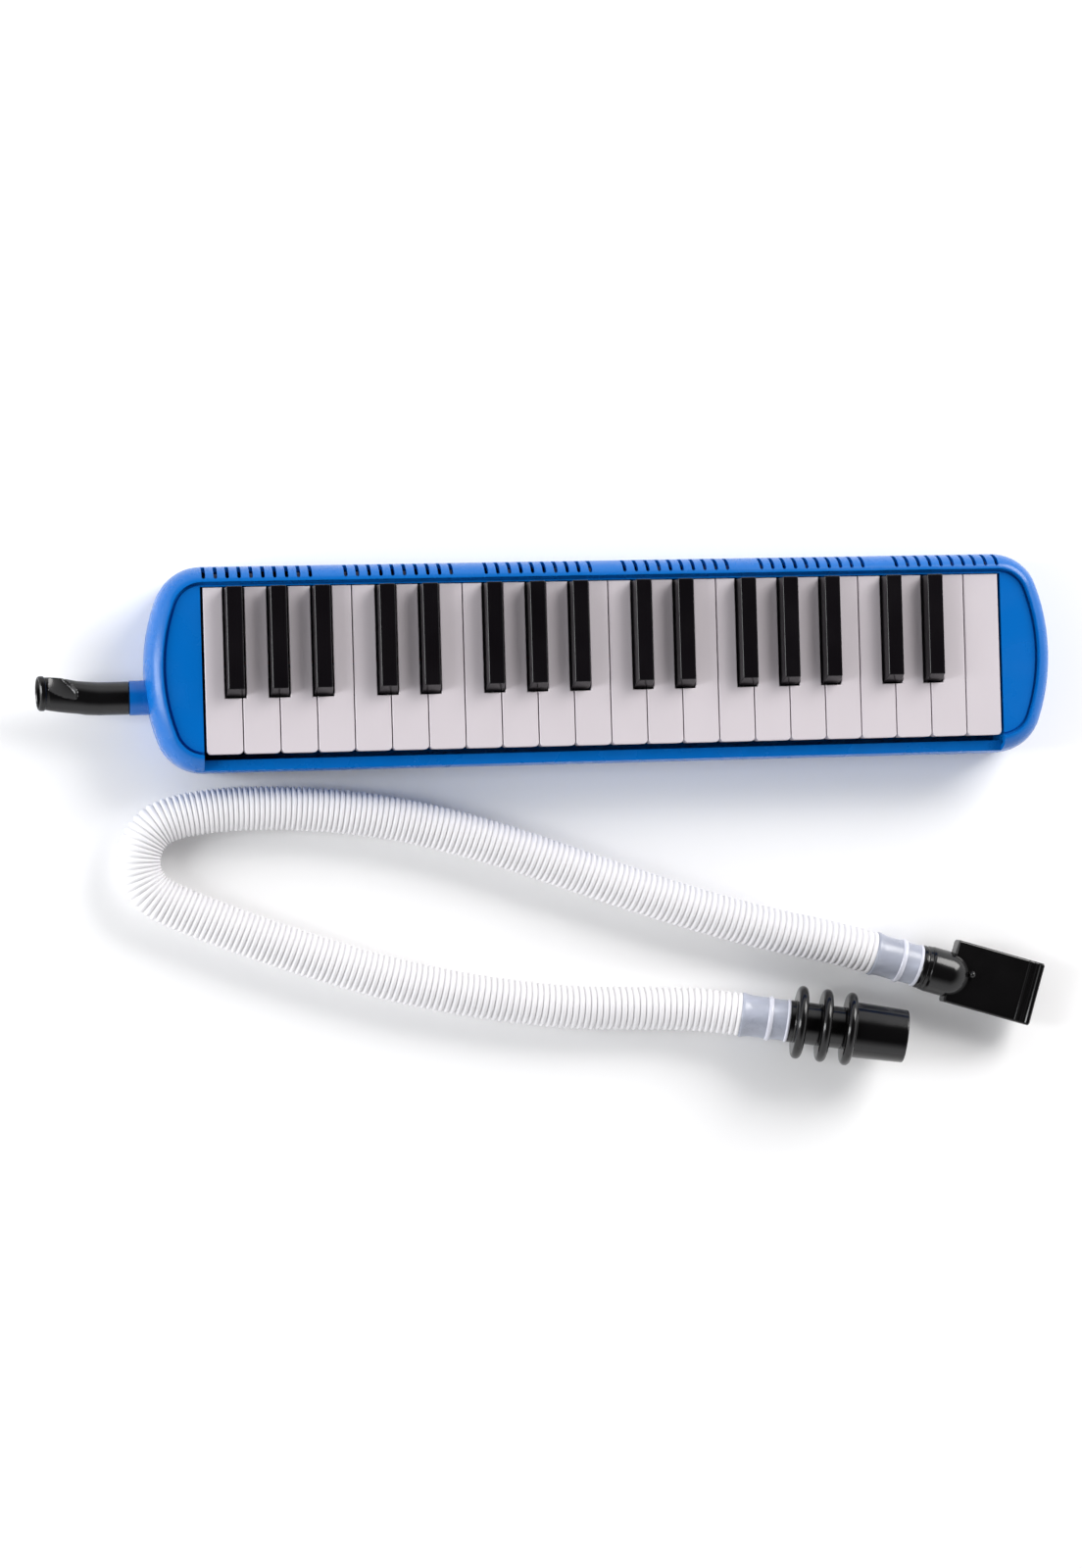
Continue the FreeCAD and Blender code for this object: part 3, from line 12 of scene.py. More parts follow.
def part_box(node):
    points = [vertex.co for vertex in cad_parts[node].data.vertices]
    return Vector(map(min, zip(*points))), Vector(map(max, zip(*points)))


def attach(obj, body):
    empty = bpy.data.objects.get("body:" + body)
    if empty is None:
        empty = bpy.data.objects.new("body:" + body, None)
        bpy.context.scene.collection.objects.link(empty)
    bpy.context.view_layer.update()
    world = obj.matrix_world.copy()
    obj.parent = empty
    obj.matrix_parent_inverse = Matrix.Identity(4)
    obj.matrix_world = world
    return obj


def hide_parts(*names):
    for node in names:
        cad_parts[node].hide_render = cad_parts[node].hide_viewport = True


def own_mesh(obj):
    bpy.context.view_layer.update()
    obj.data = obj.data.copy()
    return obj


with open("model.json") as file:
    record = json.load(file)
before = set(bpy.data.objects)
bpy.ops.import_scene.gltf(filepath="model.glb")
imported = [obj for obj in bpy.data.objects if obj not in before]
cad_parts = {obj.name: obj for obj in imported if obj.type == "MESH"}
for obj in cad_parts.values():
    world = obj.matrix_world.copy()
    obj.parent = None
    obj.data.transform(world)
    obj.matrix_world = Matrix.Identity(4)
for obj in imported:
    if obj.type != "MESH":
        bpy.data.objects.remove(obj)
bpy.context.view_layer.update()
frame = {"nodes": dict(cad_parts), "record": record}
MM = 0.001

# --- the camera ----------------------------------------------------------------------------------

CAMERA_PLACE = (-0.26836, -0.06651, 1.50794)
CAMERA_TURN = (0.650, -9.036, -1.648)  # degrees about X, Y and Z
LENS = 74.25

camera_data = bpy.data.cameras.new("camera")
camera_data.lens = LENS
camera_data.sensor_width = 36.0
camera_data.clip_start = 0.05
camera = bpy.data.objects.new("camera", camera_data)
camera.location = CAMERA_PLACE
camera.rotation_euler = [math.radians(angle) for angle in CAMERA_TURN]
bpy.context.scene.collection.objects.link(camera)
bpy.context.scene.camera = camera


# --- the hose's line -----------------------------------------------------------------------------

# From the coupling's cuff round the tight fold beside the neck to the mouthpiece's cuff.
HOSE_ROUTE = [
    (0.0623, -0.1676, 0.0136),
    (0.0496, -0.1655, 0.0118),
    (0.0365, -0.1640, 0.0107),
    (0.0150, -0.1629, 0.0104),
    (-0.0200, -0.1614, 0.0104),
    (-0.0600, -0.1552, 0.0104),
    (-0.1000, -0.1462, 0.0104),
    (-0.1400, -0.1330, 0.0104),
    (-0.1720, -0.1208, 0.0104),
    (-0.1954, -0.1110, 0.0104),
    (-0.2114, -0.1032, 0.0104),
    (-0.2173, -0.0948, 0.0104),
    (-0.2185, -0.0845, 0.0104),
    (-0.2147, -0.0750, 0.0104),
    (-0.2068, -0.0683, 0.0104),
    (-0.1892, -0.0646, 0.0104),
    (-0.1660, -0.0634, 0.0104),
    (-0.1320, -0.0650, 0.0104),
    (-0.0920, -0.0714, 0.0104),
    (-0.0480, -0.0844, 0.0104),
    (-0.0020, -0.1018, 0.0104),
    (0.0420, -0.1174, 0.0104),
    (0.0800, -0.1286, 0.0104),
    (0.1085, -0.1350, 0.0106),
    (0.1280, -0.1411, 0.0109),
]
HOSE_DIAMETER = 0.0204
RIDGE_DEPTH = 0.00125
RIDGE_FULLNESS = 0.62  # the lower, the broader the ridges and the narrower their valleys
WIDEST_PITCH, CLOSEST_PITCH = 0.0030, 0.0024
CLOSEST_AT = 0.52  # the share of the length where the ridges are closest together
PITCH_SPREAD = 0.03
RINGS_PER_RIDGE = 8
HOSE_SIDES = 48


def route_line(points):
    """The points along a smooth NURBS curve that has the route's points as its control points."""
    curve = bpy.data.curves.new("route", "CURVE")
    curve.dimensions = "3D"
    curve.resolution_u = 48
    spline = curve.splines.new("NURBS")
    spline.points.add(len(points) - 1)
    for point, place in zip(spline.points, points):
        point.co = (*place, 1.0)
    spline.order_u = 3
    spline.use_endpoint_u = True
    holder = bpy.data.objects.new("route", curve)
    bpy.context.scene.collection.objects.link(holder)
    mesh = bpy.data.meshes.new_from_object(holder)
    line = [vertex.co.copy() for vertex in mesh.vertices]
    bpy.data.objects.remove(holder)
    bpy.data.curves.remove(curve)
    bpy.data.meshes.remove(mesh)
    return line


def lengths_along(line):
    along = [0.0]
    for a, b in zip(line, line[1:]):
        along.append(along[-1] + (b - a).length)
    return along


def places_at(line, distances):
    """The places at rising distances along a line."""
    along = lengths_along(line)
    found, i = [], 0
    for distance in distances:
        while i < len(line) - 2 and along[i + 1] < distance:
            i += 1
        share = (distance - along[i]) / (along[i + 1] - along[i])
        found.append(line[i].lerp(line[i + 1], min(max(share, 0.0), 1.0)))
    return found


def ridge_starts(length):
    """Where each ridge of the hose starts: closest halfway along, wider at the ends."""
    chance = random.Random(7)
    starts = [0.0]
    while starts[-1] < length:
        share = abs(starts[-1] / length - CLOSEST_AT) / 0.5
        pitch = CLOSEST_PITCH + (WIDEST_PITCH - CLOSEST_PITCH) * min(share, 1.0)
        starts.append(starts[-1] + pitch * chance.uniform(1 - PITCH_SPREAD, 1 + PITCH_SPREAD))
    scale = length / starts[-1]
    return [start * scale for start in starts]


def turning_frames(places):
    """A pair of directions across the line at each place, carried along it without twist."""
    frames = []
    side = Vector((0, 0, 1))
    for i in range(len(places)):
        ahead = places[min(i + 1, len(places) - 1)] - places[max(i - 1, 0)]
        ahead.normalize()
        side = (side - ahead * side.dot(ahead)).normalized()
        frames.append((side.copy(), ahead.cross(side)))
    return frames


# --- mesh helpers --------------------------------------------------------------------------------

SHARP = math.radians(38)


def add_object(name, bm, sharp=SHARP):
    """A smooth-shaded object from a bmesh, with its sharp edges marked."""
    bmesh.ops.remove_doubles(bm, verts=bm.verts, dist=1e-7)
    bmesh.ops.recalc_face_normals(bm, faces=bm.faces)
    for face in bm.faces:
        face.smooth = True
    for edge in bm.edges:
        edge.smooth = not (len(edge.link_faces) == 2 and edge.calc_face_angle(0) > sharp)
    mesh = bpy.data.meshes.new(name)
    bm.to_mesh(mesh)
    bm.free()
    thing = bpy.data.objects.new(name, mesh)
    bpy.context.scene.collection.objects.link(thing)
    return thing


def skin(bm, rings, closed=False):
    """Faces between rings of points, each ring closed on itself."""
    rows = [[bm.verts.new(point) for point in ring] for ring in rings]
    pairs = list(zip(rows, rows[1:]))
    if closed:
        pairs.append((rows[-1], rows[0]))
    count = len(rows[0])
    for low, high in pairs:
        for i in range(count):
            j = (i + 1) % count
            bm.faces.new((low[i], low[j], high[j], high[i]))
    return rows


def cap(bm, row):
    """Closes an end with a fan about its middle."""
    middle = bm.verts.new(sum((v.co for v in row), Vector()) / len(row))
    for a, b in zip(row, row[1:] + row[:1]):
        bm.faces.new((a, b, middle))


def along_axis(start, direction):
    """The placing that puts +X on a direction and the origin at a start point."""
    turn = Vector((1, 0, 0)).rotation_difference(Vector(direction)).to_matrix().to_4x4()
    return Matrix.Translation(Vector(start)) @ turn


def ring(x, radius, sides):
    """A circle about X, in millimetres."""
    return [Vector((x, radius * math.cos(a), radius * math.sin(a)))
            for a in (2 * math.pi * i / sides for i in range(sides))]


def arc_points(x, radius, bend, start, stop, steps=6):
    """Profile points on a small arc about (x, radius), from one angle to another in degrees."""
    points = []
    for i in range(steps + 1):
        angle = math.radians(start + (stop - start) * i / steps)
        points.append((x + bend * math.cos(angle), radius + bend * math.sin(angle)))
    return points


def lathe(bm, profile, sides=112, closed=False):
    """Turns a profile of (along, radius) points, in millimetres, about X."""
    return skin(bm, [ring(x, radius, sides) for x, radius in profile], closed)


def place(bm, placing):
    """Takes a bmesh made in millimetres along +X to its place in metres."""
    bmesh.ops.transform(bm, matrix=placing @ Matrix.Scale(MM, 4), verts=bm.verts)


# --- materials -----------------------------------------------------------------------------------


class Paint:
    """A node material under construction, whose patterns are in metres of the object's space."""

    def __init__(self, name, **values):
        self.material = bpy.data.materials.new(name)
        self.material.use_nodes = True
        self.nodes = self.material.node_tree.nodes
        self.links = self.material.node_tree.links
        self.shader = self.nodes["Principled BSDF"]
        self.space = self.nodes.new("ShaderNodeTexCoord").outputs["Object"]
        for socket, value in values.items():
            self.shader.inputs[socket.replace("_", " ")].default_value = value

    def node(self, kind, inputs=(), **settings):
        node = self.nodes.new(kind)
        for key, value in settings.items():
            setattr(node, key, value)
        for socket, value in dict(inputs).items():
            if isinstance(value, bpy.types.NodeSocket):
                self.links.new(value, node.inputs[socket])
            else:
                node.inputs[socket].default_value = value
        return node

    def noise(self, size, detail=3.0, stretch=None):
        """Soft noise whose patches are about size metres across."""
        space = self.space
        if stretch is not None:
            space = self.node("ShaderNodeMapping", {"Vector": space, "Scale": stretch})
            space = space.outputs["Vector"]
        noise = self.node("ShaderNodeTexNoise",
                          {"Vector": space, "Scale": 1.0 / size, "Detail": detail})
        return noise.outputs["Fac"]

    def between(self, factor, low, high, start=0.35, stop=0.65):
        """A factor taken from one number to another."""
        node = self.node("ShaderNodeMapRange",
                         {"Value": factor, "From Min": start, "From Max": stop,
                          "To Min": low, "To Max": high})
        return node.outputs["Result"]

    def tones(self, factor, *stops):
        """A factor taken through colours, each given with its place."""
        ramp = self.node("ShaderNodeValToRGB", {"Fac": factor})
        while len(ramp.color_ramp.elements) < len(stops):
            ramp.color_ramp.elements.new(0.5)
        for element, (where, colour) in zip(ramp.color_ramp.elements, stops):
            element.position = where
            element.color = (*colour, 1.0)
        return ramp.outputs["Color"]

    def colour(self, source):
        self.links.new(source, self.shader.inputs["Base Color"])

    def rough(self, source):
        self.links.new(source, self.shader.inputs["Roughness"])

    def bump(self, source, depth, strength=1.0):
        """Raises the surface by up to depth metres; bumps add up in the order given."""
        bump = self.node("ShaderNodeBump",
                         {"Height": source, "Distance": depth, "Strength": strength})
        normal = self.shader.inputs["Normal"]
        if normal.links:
            self.links.new(normal.links[0].from_socket, bump.inputs["Normal"])
        self.links.new(bump.outputs["Normal"], normal)


def shade(colour, share):
    return tuple(channel * share for channel in colour)


def moulded(name, colour, roughness, spread=0.04, tone=0.05, grain=0.0006, depth=4e-6, **values):
    """Moulded plastic: an uneven tone, rubbed patches and the mould's fine grain."""
    paint = Paint(name, **values)
    paint.colour(paint.tones(paint.noise(0.045, 4.0), (0.3, shade(colour, 1 - tone)),
                             (0.5, colour), (0.7, shade(colour, 1 + tone))))
    paint.rough(paint.between(paint.noise(0.02, 6.0), roughness - spread, roughness + spread))
    paint.bump(paint.noise(grain, 2.0), depth, 0.5)
    paint.bump(paint.noise(0.03, 1.0), depth * 12, 0.25)
    return paint.material


def metal(name, colour, roughness, stretch):
    """Plated or rolled metal with fine lines along its length."""
    paint = Paint(name, Metallic=1.0)
    lines = paint.noise(0.0008, 3.0, stretch)
    paint.colour(paint.tones(paint.noise(0.012, 5.0), (0.3, shade(colour, 0.82)), (0.7, colour)))
    paint.rough(paint.between(lines, roughness - 0.07, roughness + 0.12))
    paint.bump(lines, 6e-6, 0.4)
    return paint.material


def felt(name, colour):
    """Pressed felt: matted short fibres."""
    paint = Paint(name, Sheen_Weight=0.5, Sheen_Roughness=0.5)
    fibres = paint.noise(0.0007, 8.0, (1.0, 3.0, 1.0))
    paint.colour(paint.tones(fibres, (0.3, shade(colour, 0.55)), (0.7, shade(colour, 1.15))))
    paint.rough(paint.between(fibres, 0.8, 0.98))
    paint.bump(fibres, 1.5e-4, 0.8)
    return paint.material


def webbing(name, colour, pitch):
    """Woven strap: rows of yarn across the band, broken along it."""
    paint = Paint(name, Sheen_Weight=0.35, Sheen_Roughness=0.4)
    yarns = []
    for direction in ("X", "Y"):
        wave = paint.node("ShaderNodeTexWave", {"Vector": paint.space, "Scale": 0.16 / pitch,
                                                "Distortion": 0.3, "Detail": 1.0},
                          wave_type="BANDS", bands_direction=direction, wave_profile="SIN")
        yarns.append(wave.outputs["Fac"])
    weave = paint.node("ShaderNodeMath", {0: yarns[0], 1: yarns[1]}, operation="MULTIPLY")
    weave = weave.outputs["Value"]
    paint.colour(paint.tones(weave, (0.0, shade(colour, 0.4)), (0.8, shade(colour, 1.6))))
    paint.rough(paint.between(weave, 0.65, 0.9, 0.0, 1.0))
    paint.bump(weave, 2.5e-4, 0.9)
    return paint.material


def hose_plastic():
    """White polyethylene with patches a little darker and others a little rougher."""
    paint = Paint("hose_white", Specular_IOR_Level=0.4)
    white = (0.77, 0.762, 0.775)
    paint.colour(paint.tones(paint.noise(0.03, 5.0), (0.3, shade(white, 0.965)), (0.6, white)))
    paint.rough(paint.between(paint.noise(0.01, 5.0), 0.36, 0.48))
    paint.bump(paint.noise(0.0012, 3.0), 1.5e-5, 0.5)
    return paint.material


def vinyl():
    """The soft vinyl of a cuff: blue-grey with cloudy patches."""
    paint = Paint("cuff_grey", Coat_Weight=0.15)
    grey = (0.345, 0.365, 0.435)
    paint.colour(paint.tones(paint.noise(0.011, 2.5, (0.6, 1.6, 1.0)), (0.32, shade(grey, 0.88)),
                             (0.5, grey), (0.68, shade(grey, 1.25))))
    paint.rough(paint.between(paint.noise(0.008, 4.0), 0.26, 0.4))
    paint.bump(paint.noise(0.004, 2.0), 5e-5, 0.4)
    return paint.material


def bead_highlight_vinyl():
    """The raised beads of a cuff, painted whiter than the rest: a painted highlight on their
    rounded tops.
    """
    return moulded("cuff_bead_painted_highlight", (0.60, 0.61, 0.68), 0.3, tone=0.04)


MATERIALS = {
    "case_blue": moulded("case_blue", (0.0, 0.124, 0.455), 0.27, tone=0.015, depth=2e-6,
                          Specular_IOR_Level=0.4),
    "key_white": moulded("key_white", (0.590, 0.545, 0.575), 0.36, tone=0.02, grain=0.0004),
    "key_black": moulded("key_black", (0.0040, 0.0032, 0.0042), 0.2, tone=0.2,
                         Specular_IOR_Level=0.35),
    "black_plastic": moulded("black_plastic", (0.0036, 0.0034, 0.0036), 0.17, tone=0.25,
                             depth=8e-6, Specular_IOR_Level=0.45),
    "hose_white": hose_plastic(),
    "cuff_grey": vinyl(),
    # The cuffs' beads: vinyl painted whiter, a painted highlight on their rounded tops.
    "cuff_bead_painted_highlight": bead_highlight_vinyl(),
    "steel": metal("steel", (0.56, 0.57, 0.58), 0.28, (1.0, 8.0, 8.0)),
    "brass": metal("brass", (0.78, 0.57, 0.25), 0.3, (6.0, 1.0, 6.0)),
    "inner_plastic": moulded("inner_plastic", (0.105, 0.105, 0.115), 0.5, grain=0.001,
                             depth=2e-5),
    "gasket_rubber": moulded("gasket_rubber", (0.030, 0.030, 0.032), 0.72, grain=0.0012,
                             depth=6e-5),
    "felt": felt("felt", (0.30, 0.035, 0.035)),
    "strap_webbing": webbing("strap_webbing", (0.022, 0.022, 0.026), 0.0011),
    "button_plastic": moulded("button_plastic", (0.035, 0.035, 0.04), 0.34),
}


def finish_piece(piece, body, slot, *nodes):
    """Gives a piece the material its slot names and its body, and hides the CAD nodes it stands
    for.
    """
    piece.data.materials.append(MATERIALS[slot])
    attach(piece, body)
    if nodes:
        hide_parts(*nodes)
    return piece


# --- the hose ------------------------------------------------------------------------------------


def corrugated_hose(line):
    """The ridged tube along the route, and its rings' centres."""
    starts = ridge_starts(lengths_along(line)[-1])
    distances, radii = [], []
    for start, stop in zip(starts, starts[1:]):
        for i in range(RINGS_PER_RIDGE):
            phase = i / RINGS_PER_RIDGE
            distances.append(start + (stop - start) * phase)
            height = abs(math.sin(math.pi * phase)) ** RIDGE_FULLNESS
            radii.append(HOSE_DIAMETER / 2 - RIDGE_DEPTH * (1 - height))
    centres = places_at(line, distances)
    rings = []
    for centre, (side, other), radius in zip(centres, turning_frames(centres), radii):
        angles = (2 * math.pi * i / HOSE_SIDES for i in range(HOSE_SIDES))
        rings.append([centre + radius * (side * math.cos(a) + other * math.sin(a))
                      for a in angles])
    bm = bmesh.new()
    rows = skin(bm, rings)
    cap(bm, rows[0])
    cap(bm, rows[-1])
    return add_object("hose", bm, sharp=math.pi), centres


line = route_line(HOSE_ROUTE)
hose, hose_centres = corrugated_hose(line)
finish_piece(hose, "hose", "hose_white", "hose_tube")

NEAR_END, NEAR_WAY = line[0], (line[0] - line[1]).normalized()
FAR_END, FAR_WAY = line[-1], (line[-1] - line[-2]).normalized()
# A cuff's length from the hose's end, its reach back over the hose, and where its beads lie.
CUFF_LENGTH, SLEEVE = 22.5, 0.6
BEAD_START, BEAD_STOP, END_BEAD_START = 11.9, 14.3, 20.9


def bead(x0, x1, base, height):
    """Profile points of a rounded bead that stands on a tube."""
    half = (x1 - x0) / 2
    points = []
    for i in range(9):
        angle = math.pi * i / 8
        points.append((x0 + half - half * math.cos(angle), base + height * math.sin(angle)))
    return points


def cuff(name, start, way):
    """A soft sleeve with a bead round its middle and another at its outer end."""
    bm = bmesh.new()
    profile = [(-SLEEVE, 9.4), (-SLEEVE, 10.2), (0.4 - SLEEVE, 10.5), (1.2 - SLEEVE, 10.55),
               (2.4 - SLEEVE, 10.1), (4.0, 9.75), (9.0, 9.7), (11.6, 9.8)]
    profile += bead(BEAD_START, BEAD_STOP, 9.8, 0.75)
    profile += [(14.6, 9.75), (17.0, 9.6), (20.6, 9.6)]
    profile += bead(END_BEAD_START, CUFF_LENGTH, 9.6, 0.6)
    profile += [(CUFF_LENGTH, 8.25), (-SLEEVE, 8.25)]
    lathe(bm, profile, closed=True)
    place(bm, along_axis(start, way))
    piece = add_object(name, bm)
    finish_piece(piece, "hose", "cuff_grey", "hose_cuffs")
    # The beads take a second, whiter vinyl: a painted highlight on their rounded tops.
    piece.data.materials.append(MATERIALS["cuff_bead_painted_highlight"])
    inverse = along_axis(start, way).inverted()
    for face in piece.data.polygons:
        x = (inverse @ face.center).x / MM
        if BEAD_START < x < BEAD_STOP or x > END_BEAD_START:
            face.material_index = 1
    return piece


cuffs = [cuff("near_cuff", NEAR_END, NEAR_WAY), cuff("far_cuff", FAR_END, FAR_WAY)]

DISC_RADIUS, DISC_EDGE, DISC_PITCH, CORE_RADIUS = 17.3, 2.3, 11.7, 9.9


def coupling():
    """Three round-edged discs on a core, and the tapered tube that takes a neck."""
    profile = [(-2.0, 8.1), (0.0, 8.1), (0.0, 9.5), (0.4, CORE_RADIUS)]
    for number in range(3):
        middle = 5.1 + number * DISC_PITCH
        after = CORE_RADIUS if number < 2 else 13.15
        profile += [(middle - DISC_EDGE - 0.5, CORE_RADIUS), (middle - DISC_EDGE, 10.4)]
        profile += arc_points(middle, DISC_RADIUS - DISC_EDGE, DISC_EDGE, 180, 0, 14)
        profile += [(middle + DISC_EDGE, after + 0.5), (middle + DISC_EDGE + 0.5, after)]
    profile += [(40.0, 12.95), (54.9, 12.5)]
    profile += arc_points(54.95, 11.75, 0.75, 90, 0, 5)
    profile += arc_points(55.2, 11.1, 0.5, 0, -90, 4)
    profile += [(47.7, 10.6), (47.2, 8.6), (33.7, 8.05), (33.5, 5.6), (-2.0, 5.6)]
    bm = bmesh.new()
    lathe(bm, profile, sides=144, closed=True)
    place(bm, along_axis(NEAR_END + NEAR_WAY * CUFF_LENGTH * MM, NEAR_WAY))
    return finish_piece(add_object("coupling", bm), "hose", "black_plastic", "hose_coupling")


coupling_piece = coupling()

DOME_RADIUS = 10.9
BLADE_START, BLADE_END, BLADE_HALF_WIDTH = 15.0, 59.5, 15.25
BLADE_THICK_START, BLADE_THICK_END, BLADE_EDGE, BLADE_ASIDE = 5.2, 3.6, 1.1, 2.0
SLOT_HALF_WIDTH, SLOT_HALF_HEIGHT, SLOT_DEPTH = 11.5, 1.7, 14.0
NUB_ALONG, NUB_BESIDE, NUB_ABOVE, NUB_RADIUS, NUB_STRETCH = 25.2, 2.8, 6.2, 1.7, 1.2


def rounded_section(x, half_width, half_height, corner, steps=5):
    """A rounded rectangle across X, in millimetres."""
    points = []
    for quarter, (sy, sz) in enumerate(((1, 1), (-1, 1), (-1, -1), (1, -1))):
        for i in range(steps + 1):
            angle = math.radians(90 * quarter + 90 * i / steps)
            points.append(Vector((x, sy * (half_width - corner) + corner * math.cos(angle),
                                  sz * (half_height - corner) + corner * math.sin(angle))))
    return points


def blade_height(x):
    share = (x - BLADE_START) / (BLADE_END - BLADE_START)
    return BLADE_THICK_START + (BLADE_THICK_END - BLADE_THICK_START) * share


def blade(bm):
    """The flat blade with two fine ribs near its end and a slot across its mouth."""
    sections = [rounded_section(BLADE_START + 0.5, BLADE_HALF_WIDTH - 0.6, 4.4, BLADE_EDGE)]
    steps = [(BLADE_START + 1.0, 0.0), (32.0, 0.0), (51.0, 0.0)]
    for rib in (52.0, 55.0):
        steps += [(rib - 0.6, 0.0), (rib - 0.25, 0.6), (rib + 0.3, 0.6), (rib + 0.7, 0.0)]
    steps += [(56.9, 0.0), (57.4, 0.4), (58.9, 0.4)]
    for x, raised in steps:
        sections.append(rounded_section(x, BLADE_HALF_WIDTH, blade_height(x) + raised, BLADE_EDGE))
    sections.append(rounded_section(BLADE_END, BLADE_HALF_WIDTH - 0.6, 3.3, 0.8))
    for x in (BLADE_END, BLADE_END - SLOT_DEPTH):
        sections.append(rounded_section(x, SLOT_HALF_WIDTH, SLOT_HALF_HEIGHT, 0.8))
    aside = Vector((0.0, BLADE_ASIDE, 0.0))
    rows = skin(bm, [[point + aside for point in section] for section in sections])
    cap(bm, rows[0])
    cap(bm, rows[-1])


def blade_mouthpiece():
    """A domed socket with seam rings, a small moulded nub and the blade."""
    bm = bmesh.new()
    profile = [(-3.0, 0.001), (-3.0, 8.1), (0.0, 8.1), (0.0, 9.9), (0.5, 10.3), (1.6, 10.35),
               (2.0, 10.0), (2.5, 10.0), (2.9, 10.55), (4.2, 10.7), (4.5, 10.45), (4.8, 10.75),
               (6.0, DOME_RADIUS), (14.6, DOME_RADIUS)]
    profile += arc_points(14.6, 0.0, DOME_RADIUS, 88, 1, 22)
    lathe(bm, profile)
    nub = bmesh.ops.create_uvsphere(bm, u_segments=28, v_segments=18, radius=NUB_RADIUS)["verts"]
    for vertex in nub:
        x, y, z = vertex.co
        vertex.co = Vector((x + NUB_ALONG, y + NUB_BESIDE, z * NUB_STRETCH + NUB_ABOVE))
    blade(bm)
    place(bm, along_axis(FAR_END + FAR_WAY * CUFF_LENGTH * MM, FAR_WAY))
    piece = add_object("blade_mouthpiece", bm)
    return finish_piece(piece, "hose", "black_plastic", "hose_mouthpiece")


blade_piece = blade_mouthpiece()

# --- the short mouthpiece ------------------------------------------------------------------------

NECK_END = -220.5
NECK_Y, NECK_Z = -11.8, 18.0
BEAK_TILT = 12.0
# Distance from the shoulder, half width, half thickness, lift and sideways shift of the outside.
BEAK_SECTIONS = [(0.0, 7.35, 7.35, 0.0, 0.0), (0.5, 7.65, 7.6, 0.0, 0.0),
                 (8.0, 7.6, 7.5, 0.0, 0.0), (14.0, 7.65, 7.4, 0.0, 0.0),
                 (20.0, 7.7, 6.8, 0.15, 0.4), (24.0, 7.6, 6.2, 0.3, 0.9),
                 (28.0, 7.8, 5.7, 0.45, 1.5), (32.0, 7.9, 5.2, 0.6, 2.1),
                 (36.0, 7.75, 4.8, 0.7, 2.6), (39.2, 7.5, 4.4, 0.8, 2.85),
                 (39.7, 7.6, 4.4, 0.8, 2.9), (40.3, 8.05, 4.75, 0.8, 2.9),
                 (41.3, 8.1, 4.9, 0.8, 2.9), (42.1, 7.95, 4.75, 0.8, 2.9),
                 (42.5, 7.5, 4.3, 0.8, 2.9)]
MOUTH_SECTIONS = [(42.4, 7.0, 3.8, 0.8, 2.9), (41.8, 6.7, 3.4, 0.8, 2.9),
                  (38.0, 6.0, 3.1, 0.7, 2.7), (32.0, 4.8, 2.9, 0.5, 2.0),
                  (26.0, 3.8, 2.7, 0.3, 1.2)]
LIP_START, LIP_LEAN = 36.0, 0.28
# The scoop: its span along the mouthpiece, its half width, where its middle lies beside the neck's
# axis and how its ridge bows. The flat: its height over that axis, its rise and hollow along it
# and how it dishes across. Then the short wall under the ridge.
SCOOP_START, SCOOP_STOP, SCOOP_REACH, SCOOP_ASIDE, RIDGE_BOW = 23.2, 36.5, 8.6, 1.2, 0.09
FLAT_HEIGHT, FLAT_RISE, FLAT_HOLLOW, FLAT_DISH = 4.6, 1.6, 0.5, 0.012
WALL_HEIGHT, WALL_LENGTH = 1.8, 1.4
SCOOP_WAY = Vector((0.0, math.sin(math.radians(28)), math.cos(math.radians(28))))


def beak_ring(distance, across, thin, lift, aside, sides=96):
    """An elliptical ring across the mouthpiece, turned about its length."""
    tilt = math.radians(BEAK_TILT)
    points = []
    for i in range(sides):
        angle = 2 * math.pi * i / sides
        y, z = across * math.cos(angle), thin * math.sin(angle)
        lean = LIP_LEAN * (thin + z) * min(1.0, max(0.0, (distance - LIP_START) / 4.0))
        points.append(Vector((NECK_END - distance + lean,
                              y * math.cos(tilt) - z * math.sin(tilt) + NECK_Y + aside,
                              y * math.sin(tilt) + z * math.cos(tilt) + NECK_Z + lift)))
    return points


def between_sections(sections, step):
    """The sections with others between them, about step apart, on straight lines."""
    found = []
    for a, b in zip(sections, sections[1:]):
        count = max(1, round(abs(b[0] - a[0]) / step))
        for i in range(count):
            found.append(tuple(p + (q - p) * i / count for p, q in zip(a, b)))
    return found + [sections[-1]]


def scooped(point):
    """Hollows the flat behind the lip, which a curved ridge bounds towards the neck."""
    distance = NECK_END - point.x
    beside = point.y - NECK_Y - SCOOP_ASIDE
    start = SCOOP_START + RIDGE_BOW * beside ** 2
    if not start < distance < SCOOP_STOP or abs(beside) > SCOOP_REACH:
        return point
    centre = Vector((point.x, NECK_Y + SCOOP_ASIDE, NECK_Z))
    share = (distance - start) / (SCOOP_STOP - start)
    limit = FLAT_HEIGHT + FLAT_RISE * share - FLAT_HOLLOW * math.sin(math.pi * share)
    limit += FLAT_DISH * beside ** 2
    limit += WALL_HEIGHT * max(0.0, 1.0 - (distance - start) / WALL_LENGTH) ** 1.5
    over = (point - centre).dot(SCOOP_WAY) - limit
    return point - SCOOP_WAY * over if over > 0 else point


